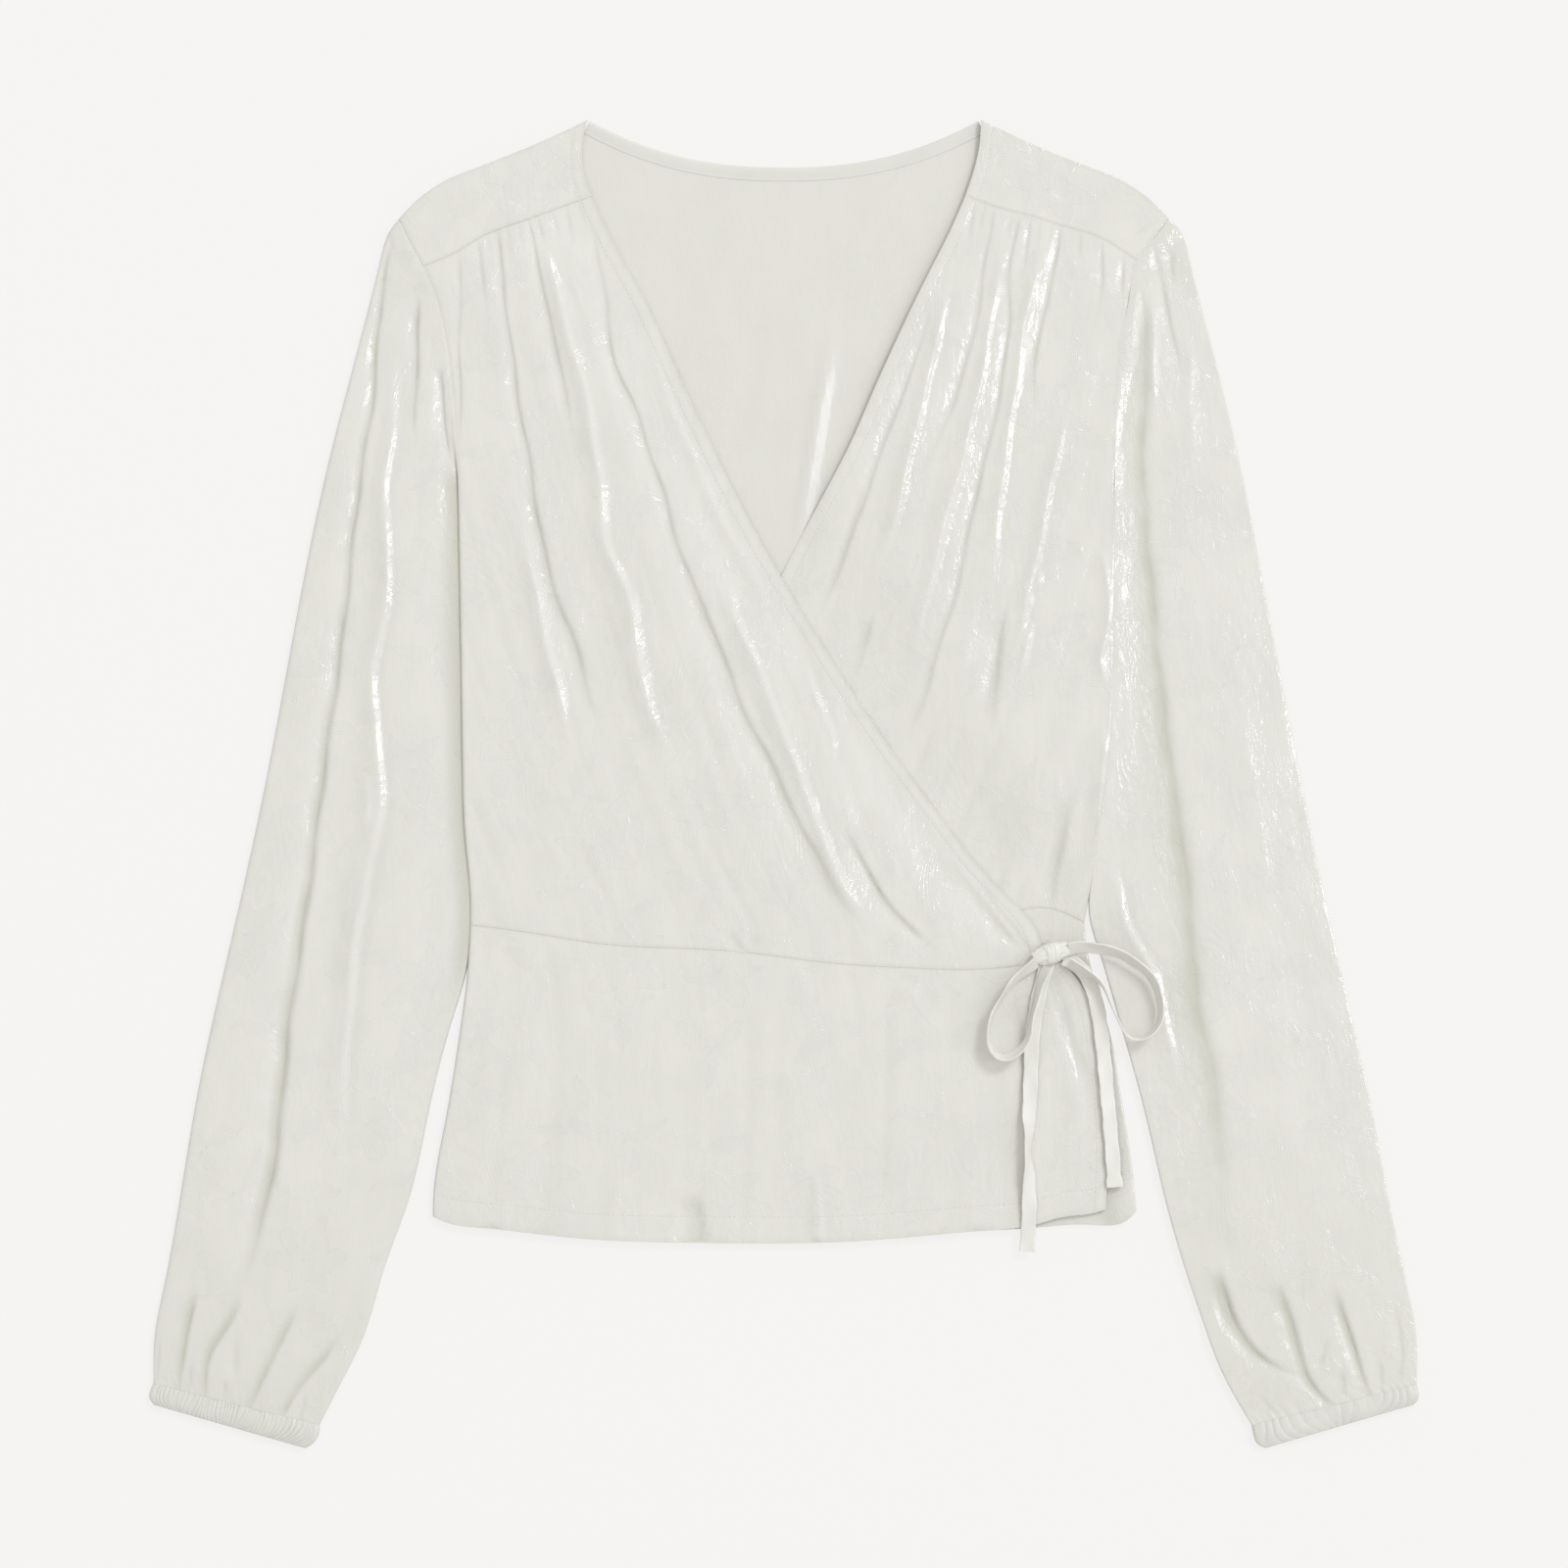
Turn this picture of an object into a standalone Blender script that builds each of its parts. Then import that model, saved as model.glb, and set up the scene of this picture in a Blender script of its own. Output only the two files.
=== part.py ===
"""A wrap blouse with long sleeves, laid flat on its back with its side tie fastened in a bow.

The tables are in millimetres and the meshes in metres. +X is the wearer's left, +Y runs up to
the shoulders, and +Z points up from the surface that the blouse lies on. "Right" and "left" are
the wearer's, so the right front, which laps over the left one, lies on the -X side.
"""

import math
from collections import namedtuple

import bmesh
import bpy
import numpy as np

MM = 0.001

# Driving dimensions, in millimetres
CLOTH = 1.0  # wall of one layer of cloth
SEAM_GAP = 0.4  # between two pieces that are sewn together
BACK_INSET = 1.9  # back panels stop this far inside an edge that rolls down over them
CHEST_LEVEL = 5.8  # top of the upper layer over the chest
SHOULDER_LEVEL = 4.8  # the same at the shoulder line
WAIST_LEVEL = 4.9  # the same at the waist seam
HEM_LEVEL = 4.3  # the same at the hem
WAIST_Y = -85.0  # the waist seam's middle
UNDER_LEVEL = 2.4  # top of the lower front where the upper one covers it
LAYER_STEP = CLOTH + 0.9  # least rise from the top of one layer to the top of the next
ROLL_FOOT = 0.35  # a rolled edge ends this high above the surface
BINDING_WIDTH = 7.3  # along the back of the neck
BINDING_WALL = 1.3
EDGE_SINK = 22.0  # the right front sinks towards its free edge over this width
SLEEVE_EDGE_LEVEL = 3.3  # top of a sleeve beside its edges
SLEEVE_CROWN = 2.1  # a sleeve's middle lies this much higher
CUFF_WALL = 1.3
CUFF_RIBS = 18  # puckers across the upper side of one elastic cuff
TIE_WIDTH = 7.5
TIE_WALL = 1.0

IVORY = (0.76, 0.75, 0.70)
SATIN_ROUGHNESS = 0.38

# The rows of a front, as shares of the way from the yoke seam to the waist seam
FRONT_ROWS = (0.0, 0.01, 0.03, 0.06, 0.1, 0.15, 0.21, 0.275, 0.34, 0.41, 0.48, 0.55, 0.62, 0.69,
              0.76, 0.82, 0.88, 0.94, 1.0)

# How far in from a rolled edge each of its first points lies, and the share of the height there
ROLL = ((0.0, 0.0), (0.3, 0.55), (1.3, 0.88), (3.4, 1.0))

# Outlines, as (x, y) in millimetres. The shoulders are alike, so the left one is mirrored.
NECK_POINT = (99.5, 339.0)
NECK_DIP = 24.0  # the back neck's middle lies this far below the neck points
NECK_POWER = 2.3
SHOULDER = ((100.5, 339.0), (124.0, 328.0), (143.0, 320.0), (160.0, 313.5), (172.0, 308.5),
            (181.0, 303.0), (189.5, 296.0), (196.5, 288.5))

RIGHT_ARMHOLE = ((-196.5, 288.5), (-190.5, 276.0), (-184.0, 264.0), (-178.5, 252.0), (-174.0, 236.0),
                 (-170.5, 214.0), (-168.0, 190.0), (-167.0, 164.0))
RIGHT_SIDE = ((-167.0, 164.0), (-165.7, 95.0), (-164.5, 14.0), (-163.0, -28.0), (-160.5, -58.0),
              (-160.5, -72.0))
RIGHT_HIP = ((-160.5, -72.0), (-161.8, -95.0), (-166.0, -128.0), (-173.0, -171.0), (-179.5, -215.0),
             (-179.5, -220.5))
RIGHT_YOKE_SEAM = ((-184.0, 264.0), (-175.0, 267.5), (-166.5, 271.5), (-156.0, 278.0), (-145.0, 283.0),
                   (-130.5, 288.0), (-116.0, 293.5), (-98.0, 300.0))
# The right front's free edge, from the neck to the tie
RIGHT_EDGE = ((-100.5, 339.0), (-103.0, 325.0), (-101.5, 310.0), (-98.0, 300.0), (-89.0, 280.0),
              (-70.0, 245.0), (-54.5, 211.0), (-39.5, 179.0), (-25.0, 149.0), (-8.5, 118.0),
              (13.5, 81.0), (35.0, 47.0), (58.5, 12.5), (83.5, -21.5), (96.5, -38.5),
              (110.0, -53.5), (122.5, -66.0), (130.0, -78.0), (131.5, -90.8))
WAIST_SEAM = ((-160.5, -72.0), (-136.0, -75.0), (-117.0, -78.0), (-90.0, -82.0), (-50.0, -84.0),
              (-20.0, -86.0), (20.0, -91.0), (65.0, -94.0), (105.0, -94.3), (119.0, -92.8), (131.5, -90.8))
PEPLUM_SHOULDER = ((131.5, -90.8), (142.0, -91.0))
RIGHT_PEPLUM_EDGE = ((142.0, -91.0), (150.0, -105.0), (157.0, -125.0), (161.0, -150.0), (162.5, -180.0),
                     (163.0, -217.0))
RIGHT_HEM = ((-179.5, -220.5), (-171.5, -224.0), (-154.0, -226.5), (-131.0, -229.0), (-102.5, -232.0),
             (-51.0, -234.0), (-20.0, -234.3), (17.5, -234.0), (60.0, -231.5), (100.0, -228.0),
             (128.5, -224.5), (141.0, -221.0), (156.5, -219.0), (163.0, -217.0))

LEFT_ARMHOLE = ((196.5, 288.5), (188.0, 277.5), (179.5, 267.0), (177.0, 255.0), (174.0, 236.0),
                (171.0, 214.0), (168.8, 190.0), (168.5, 164.0))
LEFT_SIDE = ((168.5, 164.0), (168.5, 103.0), (167.0, 33.0), (165.0, 5.0), (160.5, -22.0),
             (158.0, -45.0), (155.0, -62.0), (153.5, -71.0))
LEFT_HIP = ((153.5, -71.0), (155.0, -84.0), (160.0, -104.0), (166.5, -127.0), (172.5, -160.0),
            (178.0, -196.0), (180.0, -217.5))
LEFT_YOKE_SEAM = ((92.5, 300.0), (114.0, 292.5), (126.5, 289.5), (142.0, 284.5), (156.0, 280.5),
                  (166.0, 276.0), (173.0, 271.5), (179.5, 267.0))
LEFT_EDGE = ((100.5, 339.0), (99.5, 324.5), (96.5, 312.0), (92.5, 300.0), (86.5, 286.0),
             (72.5, 258.0), (58.5, 229.0), (44.5, 198.0), (34.5, 175.0), (21.5, 150.0),
             (5.5, 120.0), (-13.5, 83.0), (-35.0, 47.0), (-58.5, 12.5), (-83.5, -21.5),
             (-105.0, -50.0), (-118.0, -73.0))
LEFT_WAIST = ((-118.0, -73.0), (-60.0, -79.0), (0.0, -82.0), (60.0, -79.0), (105.0, -69.5),
              (135.0, -63.5), (153.5, -71.0))
LEFT_PEPLUM_EDGE = ((-118.0, -73.0), (-138.0, -97.0), (-148.0, -113.0), (-156.5, -138.0),
                    (-160.5, -168.0), (-163.0, -221.0))
LEFT_HEM = ((-163.0, -221.0), (-131.0, -226.5), (-102.5, -229.5), (-51.0, -231.5), (17.5, -231.5),
            (60.0, -229.5), (100.0, -228.0), (128.5, -226.6), (155.0, -225.0), (174.0, -223.3),
            (180.0, -217.5))

# The outer and inner edges of each sleeve, from the armhole to the cuff
RIGHT_SLEEVE_OUTER = ((-196.5, 288.5), (-201.0, 283.0), (-206.0, 268.5), (-211.0, 248.0),
                      (-220.0, 213.5), (-232.5, 165.0), (-250.0, 80.0), (-265.0, 0.0),
                      (-282.5, -80.0), (-300.0, -160.0), (-310.0, -220.0), (-317.5, -260.0),
                      (-321.3, -280.0), (-322.0, -306.0))
RIGHT_SLEEVE_INNER = ((-167.0, 164.0), (-168.0, 100.0), (-166.2, 14.0), (-164.0, -28.0),
                      (-161.7, -60.0), (-163.0, -97.0), (-169.0, -119.5), (-182.0, -170.5),
                      (-191.5, -212.0), (-204.5, -248.5), (-215.0, -283.0), (-224.7, -303.0),
                      (-237.0, -327.0))
LEFT_SLEEVE_OUTER = ((196.5, 288.5), (202.0, 283.0), (207.0, 268.5), (212.0, 248.0), (221.0, 213.5),
                     (232.5, 165.0), (249.0, 80.0), (264.5, 0.0), (281.0, -80.0), (300.0, -165.0),
                     (310.5, -220.0), (319.5, -261.5), (322.8, -280.0), (323.0, -306.0))
LEFT_SLEEVE_INNER = ((168.5, 164.0), (169.7, 103.0), (168.2, 33.0), (166.2, 5.0), (161.7, -22.0),
                     (159.3, -45.0), (157.5, -66.0), (161.5, -87.0), (170.0, -117.0),
                     (183.0, -163.0), (194.5, -212.0), (205.0, -248.5), (215.0, -278.0),
                     (222.5, -298.0), (238.5, -327.0))

# The four rows of each cuff, from the sleeve to the open end
CuffRow = namedtuple("CuffRow", "outer_x outer_y inner_x inner_y level")
RIGHT_CUFF = (
    CuffRow(-322.0, -306.4, -237.2, -327.4, 3.9),
    CuffRow(-324.0, -310.6, -237.6, -332.2, 4.5),
    CuffRow(-323.9, -313.9, -240.3, -336.6, 4.4),
    CuffRow(-322.2, -316.6, -244.0, -339.0, 3.7),
)
LEFT_CUFF = (
    CuffRow(323.0, -306.4, 238.6, -327.4, 3.9),
    CuffRow(324.0, -310.0, 239.6, -332.2, 4.5),
    CuffRow(324.0, -313.4, 241.3, -336.6, 4.4),
    CuffRow(322.2, -316.4, 245.0, -339.0, 3.7),
)

# A fold's path runs down the cloth. Its half width and its fades are given at the upper and the
# lower end, the fades as shares of its length, and it rises above the cloth or sinks below it.
Fold = namedtuple("Fold", "path width fade rise")

RIGHT_FRONT_FOLDS = (
    Fold(((-163.0, 273.0), (-164.0, 220.0), (-163.5, 165.0)), (1.6, 2.0), (0.0, 0.3), -1.7),
    Fold(((-156.0, 278.0), (-154.0, 262.0), (-151.0, 235.0)), (1.8, 4.0), (0.0, 0.6), -1.8),
    Fold(((-150.5, 280.5), (-149.5, 266.0)), (1.5, 2.5), (0.0, 0.7), -1.0),
    Fold(((-145.5, 283.0), (-136.0, 197.0), (-116.0, 94.0), (-92.0, 17.0)), (2.0, 5.0), (0.0, 0.3), -2.9),
    Fold(((-138.5, 285.5), (-136.0, 262.0)), (1.6, 2.5), (0.0, 0.7), -1.2),
    Fold(((-130.5, 288.0), (-122.5, 255.0), (-110.0, 200.0), (-105.0, 172.0)), (1.8, 4.5), (0.0, 0.5), -2.2),
    Fold(((-124.5, 290.5), (-121.0, 268.0)), (1.6, 2.5), (0.0, 0.7), -1.0),
    Fold(((-111.0, 295.5), (-107.0, 272.0)), (1.6, 3.0), (0.0, 0.7), -0.9),
    Fold(((-98.0, 290.0), (-89.5, 233.0), (-60.5, 144.0), (-20.0, 35.0), (18.0, -40.0), (46.0, -81.0)),
         (2.0, 6.0), (0.1, 0.15), -2.6),
    Fold(((-1.5, 61.0), (23.5, -4.0), (56.0, -66.5), (72.5, -82.0)), (6.0, 3.0), (0.5, 0.15), -2.0),
    Fold(((80.0, -33.0), (100.0, -60.0), (121.0, -84.0)), (4.0, 4.0), (0.4, 0.1), -1.3),
    Fold(((-118.0, 281.0), (-105.0, 225.0), (-80.0, 110.0), (-44.0, -4.0)), (3.5, 9.0), (0.1, 0.3), 1.7),
    Fold(((-27.5, 110.0), (-4.0, 41.5), (27.5, -38.0), (54.0, -78.0)), (6.0, 6.0), (0.3, 0.2), 2.0),
    Fold(((-152.0, 262.0), (-128.0, 120.0), (-108.0, 35.0)), (4.0, 7.0), (0.3, 0.4), 1.2),
)

LEFT_FRONT_FOLDS = (
    Fold(((76.0, 254.0), (62.0, 204.0), (43.5, 153.5), (14.0, 81.0)), (2.5, 3.0), (0.3, 0.1), -1.7),
    Fold(((97.5, 297.0), (94.0, 271.0)), (1.6, 3.0), (0.0, 0.7), -1.2),
    Fold(((107.5, 294.5), (102.0, 266.0), (94.0, 219.0), (67.5, 149.5)), (1.8, 5.0), (0.0, 0.4), -1.7),
    Fold(((115.5, 291.5), (114.5, 279.0)), (1.4, 2.0), (0.0, 0.7), -1.0),
    Fold(((120.5, 290.5), (114.5, 235.0), (105.0, 176.0), (77.0, 64.0), (58.0, 12.5)), (2.0, 3.5),
         (0.0, 0.15), -3.0),
    Fold(((126.0, 289.0), (122.5, 259.0)), (1.5, 2.5), (0.0, 0.7), -1.4),
    Fold(((134.5, 286.5), (133.0, 272.0)), (1.4, 2.0), (0.0, 0.7), -0.9),
    Fold(((141.0, 284.5), (134.5, 250.0), (127.0, 208.0), (125.0, 180.0)), (1.8, 4.5), (0.0, 0.5), -2.1),
    Fold(((151.5, 281.5), (150.0, 265.0)), (1.6, 2.5), (0.0, 0.7), -0.8),
    Fold(((162.0, 277.5), (161.0, 258.0), (159.0, 235.0)), (1.6, 3.5), (0.0, 0.6), -1.3),
    Fold(((174.0, 270.0), (172.0, 243.0)), (1.5, 2.5), (0.0, 0.6), -1.2),
    Fold(((150.0, 12.0), (141.5, -27.5), (137.0, -66.0)), (7.0, 4.0), (0.4, 0.1), -2.1),
    Fold(((115.0, 100.0), (108.0, 50.0), (106.0, 20.0)), (6.0, 7.0), (0.4, 0.4), -1.0),
    Fold(((86.0, 262.0), (79.5, 211.0), (62.0, 144.0), (45.0, 90.0)), (4.0, 6.0), (0.2, 0.3), 1.4),
    Fold(((113.5, 276.0), (107.0, 216.5), (87.5, 149.5), (75.0, 80.0)), (3.0, 6.0), (0.2, 0.3), 1.6),
    Fold(((130.5, 268.0), (121.0, 196.0), (113.0, 137.5), (109.0, 90.0)), (3.5, 6.5), (0.2, 0.3), 1.8),
    Fold(((148.0, 200.0), (138.5, 146.5), (122.5, 55.0)), (5.0, 6.0), (0.3, 0.4), 1.2),
)

PEPLUM_FOLDS = (
    Fold(((133.0, -100.0), (146.0, -130.0), (155.5, -175.0)), (4.0, 4.5), (0.2, 0.4), -1.5),
    Fold(((122.0, -104.0), (134.0, -150.0), (138.0, -200.0)), (5.0, 7.0), (0.3, 0.5), 0.8),
    Fold(((62.0, -98.0), (70.0, -122.0)), (5.0, 6.0), (0.3, 0.5), 0.7),
    Fold(((16.0, -190.0), (17.0, -233.0)), (3.0, 4.0), (0.5, 0.0), 0.8),
    Fold(((-45.0, -205.0), (-42.0, -233.0)), (5.0, 7.0), (0.5, 0.0), -0.7),
    Fold(((-138.0, -190.0), (-145.0, -226.0)), (6.0, 8.0), (0.5, 0.0), 0.6),
    Fold(((96.0, -205.0), (97.0, -227.0)), (5.0, 7.0), (0.5, 0.0), 0.6),
)

RIGHT_SLEEVE_FOLDS = (
    Fold(((-198.5, 284.0), (-206.0, 235.0), (-214.0, 175.0), (-239.5, 0.0), (-252.0, -111.5),
          (-266.5, -220.0), (-280.0, -290.0)), (2.5, 6.0), (0.05, 0.1), -2.5),
    Fold(((-186.0, 258.0), (-188.0, 213.0), (-190.0, 165.0)), (2.5, 6.0), (0.2, 0.6), -1.8),
    Fold(((-178.5, 236.0), (-176.0, 215.0), (-174.5, 190.0)), (2.5, 3.5), (0.2, 0.5), -1.8),
    Fold(((-282.5, -197.0), (-298.5, -263.0), (-308.5, -306.0)), (4.0, 2.5), (0.5, 0.05), -2.5),
    Fold(((-281.0, -268.0), (-292.0, -294.5), (-295.0, -311.0)), (3.0, 2.5), (0.4, 0.05), -2.2),
    Fold(((-257.0, -282.0), (-266.0, -301.0), (-273.0, -318.0)), (3.0, 2.5), (0.4, 0.05), -2.2),
    Fold(((-222.0, -281.0), (-239.0, -296.0), (-251.0, -310.0)), (4.0, 3.0), (0.4, 0.2), -1.9),
    Fold(((-317.0, -290.0), (-316.0, -305.0)), (2.5, 2.0), (0.5, 0.1), -1.5),
    Fold(((-302.0, -292.0), (-301.5, -309.0)), (2.0, 2.0), (0.5, 0.05), -1.5),
    Fold(((-283.0, -296.0), (-284.0, -314.0)), (2.5, 2.0), (0.5, 0.05), -1.5),
    Fold(((-246.0, -305.0), (-252.5, -322.0)), (2.5, 2.0), (0.5, 0.05), -1.5),
    Fold(((-194.0, 205.0), (-199.5, 136.5), (-204.0, 0.0), (-217.5, -125.0), (-221.0, -215.0)),
         (6.0, 10.0), (0.2, 0.4), 1.2),
)

LEFT_SLEEVE_FOLDS = (
    Fold(((181.5, 262.0), (184.5, 214.0), (185.0, 140.0), (193.5, 41.0), (203.0, -45.0),
          (217.0, -150.0), (228.0, -248.0)), (3.0, 8.0), (0.05, 0.3), -2.9),
    Fold(((187.5, 280.0), (196.5, 239.0), (204.0, 190.0)), (2.0, 4.0), (0.1, 0.6), -1.9),
    Fold(((226.0, -262.0), (237.0, -283.0), (250.0, -297.0), (266.0, -309.0)), (5.0, 3.0), (0.3, 0.15), -3.0),
    Fold(((255.0, -255.0), (262.0, -293.0), (281.0, -318.0)), (3.5, 2.5), (0.4, 0.1), -2.5),
    Fold(((283.5, -250.0), (294.0, -290.5), (300.5, -311.0)), (3.5, 2.5), (0.4, 0.1), -2.5),
    Fold(((241.0, -309.0), (248.0, -318.0), (254.0, -323.0)), (2.5, 2.0), (0.4, 0.1), -2.0),
    Fold(((311.0, -262.0), (313.0, -288.0), (311.0, -308.0)), (3.0, 2.0), (0.5, 0.05), -1.6),
    Fold(((270.0, -306.0), (274.0, -320.0)), (2.0, 2.0), (0.5, 0.05), -1.5),
    Fold(((304.0, -297.0), (306.0, -310.0)), (2.0, 2.0), (0.5, 0.05), -1.4),
    Fold(((192.5, 246.0), (195.0, 190.0), (203.0, 80.0), (215.0, -60.0)), (4.0, 9.0), (0.2, 0.4), 1.4),
    Fold(((174.5, 240.0), (177.0, 150.0), (181.0, 40.0)), (3.0, 6.0), (0.2, 0.5), 1.1),
)

# Where the ties run, as x, y, height of the middle of the strip, and its lean from flat, in degrees
TiePoint = namedtuple("TiePoint", "x y level lean")
KNOT_CENTRE = (135.5, -84.5)
KNOT_SIZE = (18.5, 14.0, 7.0)
LOOP_LEVEL = 10.9
TIES = {
    "tie_loop_right": (
        TiePoint(128.2, -90.6, 10.6, 45.0), TiePoint(120.0, -97.5, LOOP_LEVEL, 55.0),
        TiePoint(111.0, -108.5, LOOP_LEVEL, 60.0), TiePoint(105.0, -121.0, LOOP_LEVEL, 60.0),
        TiePoint(104.6, -132.5, LOOP_LEVEL, 60.0), TiePoint(111.0, -139.0, LOOP_LEVEL, 60.0),
        TiePoint(119.0, -136.5, LOOP_LEVEL, 60.0), TiePoint(124.4, -127.5, LOOP_LEVEL, 60.0),
        TiePoint(127.2, -115.0, LOOP_LEVEL, 55.0), TiePoint(130.0, -103.5, LOOP_LEVEL, 50.0),
        TiePoint(134.0, -93.2, 10.7, 45.0),
    ),
    "tie_loop_left": (
        TiePoint(145.1, -84.0, 10.4, 45.0), TiePoint(153.0, -83.0, LOOP_LEVEL, 50.0),
        TiePoint(163.5, -84.3, LOOP_LEVEL, 55.0), TiePoint(174.0, -88.0, LOOP_LEVEL, 60.0),
        TiePoint(183.0, -94.5, LOOP_LEVEL, 60.0), TiePoint(189.8, -104.0, LOOP_LEVEL, 60.0),
        TiePoint(191.6, -115.0, LOOP_LEVEL, 60.0), TiePoint(188.8, -125.0, LOOP_LEVEL, 60.0),
        TiePoint(182.0, -129.3, LOOP_LEVEL, 60.0), TiePoint(174.8, -127.6, LOOP_LEVEL, 60.0),
        TiePoint(170.0, -120.5, LOOP_LEVEL, 60.0), TiePoint(166.3, -111.0, LOOP_LEVEL, 55.0),
        TiePoint(160.5, -101.0, LOOP_LEVEL, 50.0), TiePoint(153.0, -95.0, LOOP_LEVEL, 50.0),
        TiePoint(144.6, -91.0, 10.7, 45.0),
    ),
    "tie_tail_long": (
        TiePoint(134.4, -90.8, 6.7, 5.0), TiePoint(131.0, -103.0, 6.7, 0.0),
        TiePoint(128.5, -115.0, 6.7, 0.0), TiePoint(126.4, -132.0, 6.7, 0.0),
        TiePoint(125.6, -152.0, 6.6, 0.0), TiePoint(124.8, -170.0, 7.4, 20.0),
        TiePoint(124.3, -186.0, 8.2, 40.0), TiePoint(124.8, -203.0, 7.1, 20.0),
        TiePoint(124.8, -221.0, 5.8, 0.0), TiePoint(124.0, -238.5, 5.0, 0.0),
    ),
    "tie_tail_short": (
        TiePoint(142.8, -88.8, 6.7, 5.0), TiePoint(151.0, -94.0, 6.6, 0.0),
        TiePoint(155.5, -100.5, 6.4, 0.0), TiePoint(159.0, -111.0, 6.4, 0.0),
        TiePoint(161.6, -126.0, 6.3, 0.0), TiePoint(163.4, -143.0, 6.2, 0.0),
        TiePoint(165.0, -161.0, 6.1, 0.0), TiePoint(166.8, -181.0, 6.0, 0.0),
        TiePoint(168.6, -205.5, 5.9, 0.0),
    ),
}
TIE_STEP = 3.4  # between the points of a tie's smooth path


def ramp(value, low, high):
    """Goes smoothly from 0 at low to 1 at high."""
    if low == high:
        return np.where(value >= low, 1.0, 0.0)
    share = np.clip((value - low) / (high - low), 0.0, 1.0)
    return share * share * (3.0 - 2.0 * share)


def cubic(knots, values):
    """The natural cubic spline through values, as a function of a place between the knots."""
    knots = np.array(knots, float)
    values = np.array(values, float)
    count = len(knots)
    gaps = np.diff(knots)
    slopes = np.diff(values, axis=0) / gaps.reshape([-1] + [1] * (values.ndim - 1))
    system = np.eye(count)
    bends = np.zeros_like(values)
    for i in range(1, count - 1):
        system[i, i - 1 : i + 2] = gaps[i - 1], 2 * (gaps[i - 1] + gaps[i]), gaps[i]
        bends[i] = 6 * (slopes[i] - slopes[i - 1])
    bends = np.linalg.solve(system, bends)

    def at(place):
        place = np.clip(np.asarray(place, float), knots[0], knots[-1])
        i = np.clip(np.searchsorted(knots, place, side="right") - 1, 0, count - 2)
        shape = place.shape + (1,) * (values.ndim - 1)
        a = ((knots[i + 1] - place) / gaps[i]).reshape(shape)
        b = 1.0 - a
        gap = gaps[i].reshape(shape)
        bend = (a**3 - a) * bends[i] + (b**3 - b) * bends[i + 1]
        return a * values[i] + b * values[i + 1] + bend * gap**2 / 6

    return at


def spline(points):
    """A smooth curve through points, as a function of the share of the way along it."""
    points = np.array(points, float)
    steps = np.linalg.norm(np.diff(points, axis=0), axis=1)
    knots = np.concatenate([[0.0], np.cumsum(steps)])
    return cubic(knots / knots[-1], points)


def joined(first, second):
    """One outline from two that share a point."""
    return first + second[1:]


def part_of(outline, y_from, y_to):
    """The points of a falling outline from one height down to another."""
    points = np.array(outline)
    across = cubic(-points[:, 1], points[:, 0])
    inner = [tuple(point) for point in outline if y_to + 0.5 < point[1] < y_from - 0.5]
    ends = [(float(across(-y)), y) for y in (y_from, y_to)]
    return (ends[0], *inner, ends[1])


def fold_field(x, y, folds):
    """How far a set of folds lifts or sinks the cloth at each x, y."""
    total = np.zeros_like(x)
    for fold in folds:
        path = np.array(fold.path)
        drop = path[0, 1] - path[-1, 1]
        along = (path[0, 1] - y) / drop
        down = np.clip(along, 0.0, 1.0) * drop
        middle = cubic(path[0, 1] - path[:, 1], path[:, 0])
        slope = middle(down + 0.5) - middle(down - 0.5)
        away = (x - middle(down)) / np.sqrt(1.0 + slope**2)
        width = fold.width[0] + (fold.width[1] - fold.width[0]) * np.clip(along, 0.0, 1.0)
        fade = ramp(along, 0.0, fold.fade[0]) * ramp(1.0 - along, 0.0, fold.fade[1])
        total += fold.rise * fade * np.exp(-((away / width) ** 2))
    return total


def upper_level(x, y):
    """The height of the upper layer before its folds, which changes down the blouse only."""
    chest = WAIST_LEVEL + (CHEST_LEVEL - WAIST_LEVEL) * ramp(y, WAIST_Y, 0.0)
    shoulder = (CHEST_LEVEL - SHOULDER_LEVEL) * ramp(y, 250.0, 335.0)
    hem = (WAIST_LEVEL - HEM_LEVEL) * ramp(-y, -WAIST_Y, 225.0)
    return chest - shoulder - hem + 0.0 * x


def beyond_edge(x, y, edge):
    """How far a place lies to the wearer's left of a front's free edge."""
    points = np.array(edge)
    across = cubic(-points[:, 1], points[:, 0])
    return (x - across(-y)) * 0.84


def left_height(x, y):
    """The top of the left front and peplum, which sink where the right ones cover them."""
    clear = np.where(y < -90.0, x - 175.0, beyond_edge(x, y, RIGHT_EDGE))
    shown = ramp(clear, 4.0, 24.0)
    near = ramp(clear, -2.0, 6.0)
    folds = fold_field(x, y, LEFT_FRONT_FOLDS) * (0.3 * near + 0.7 * shown)
    level = UNDER_LEVEL + (upper_level(x, y) - UNDER_LEVEL + 0.2) * shown
    return np.maximum(level + folds, UNDER_LEVEL)


def right_height(x, y):
    """The top of the right front and peplum, which lie over the left ones."""
    folds = fold_field(x, y, RIGHT_FRONT_FOLDS) + fold_field(x, y, PEPLUM_FOLDS)
    level = upper_level(x, y)
    sink = ramp(beyond_edge(x, y, RIGHT_EDGE), -EDGE_SINK, 0.0) * ramp(y, -90.0, -60.0)
    level -= (level - UNDER_LEVEL) * sink
    lapped = ramp(beyond_edge(x, y, LEFT_EDGE), -14.0, -3.0)
    below = CLOTH + (left_height(np.minimum(x, 150.0), y) - CLOTH) * lapped
    return np.maximum(level + folds, below + LAYER_STEP)


def collection(name):
    """A new collection in the scene."""
    made = bpy.data.collections.new(name)
    bpy.context.scene.collection.children.link(made)
    return made


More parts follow.
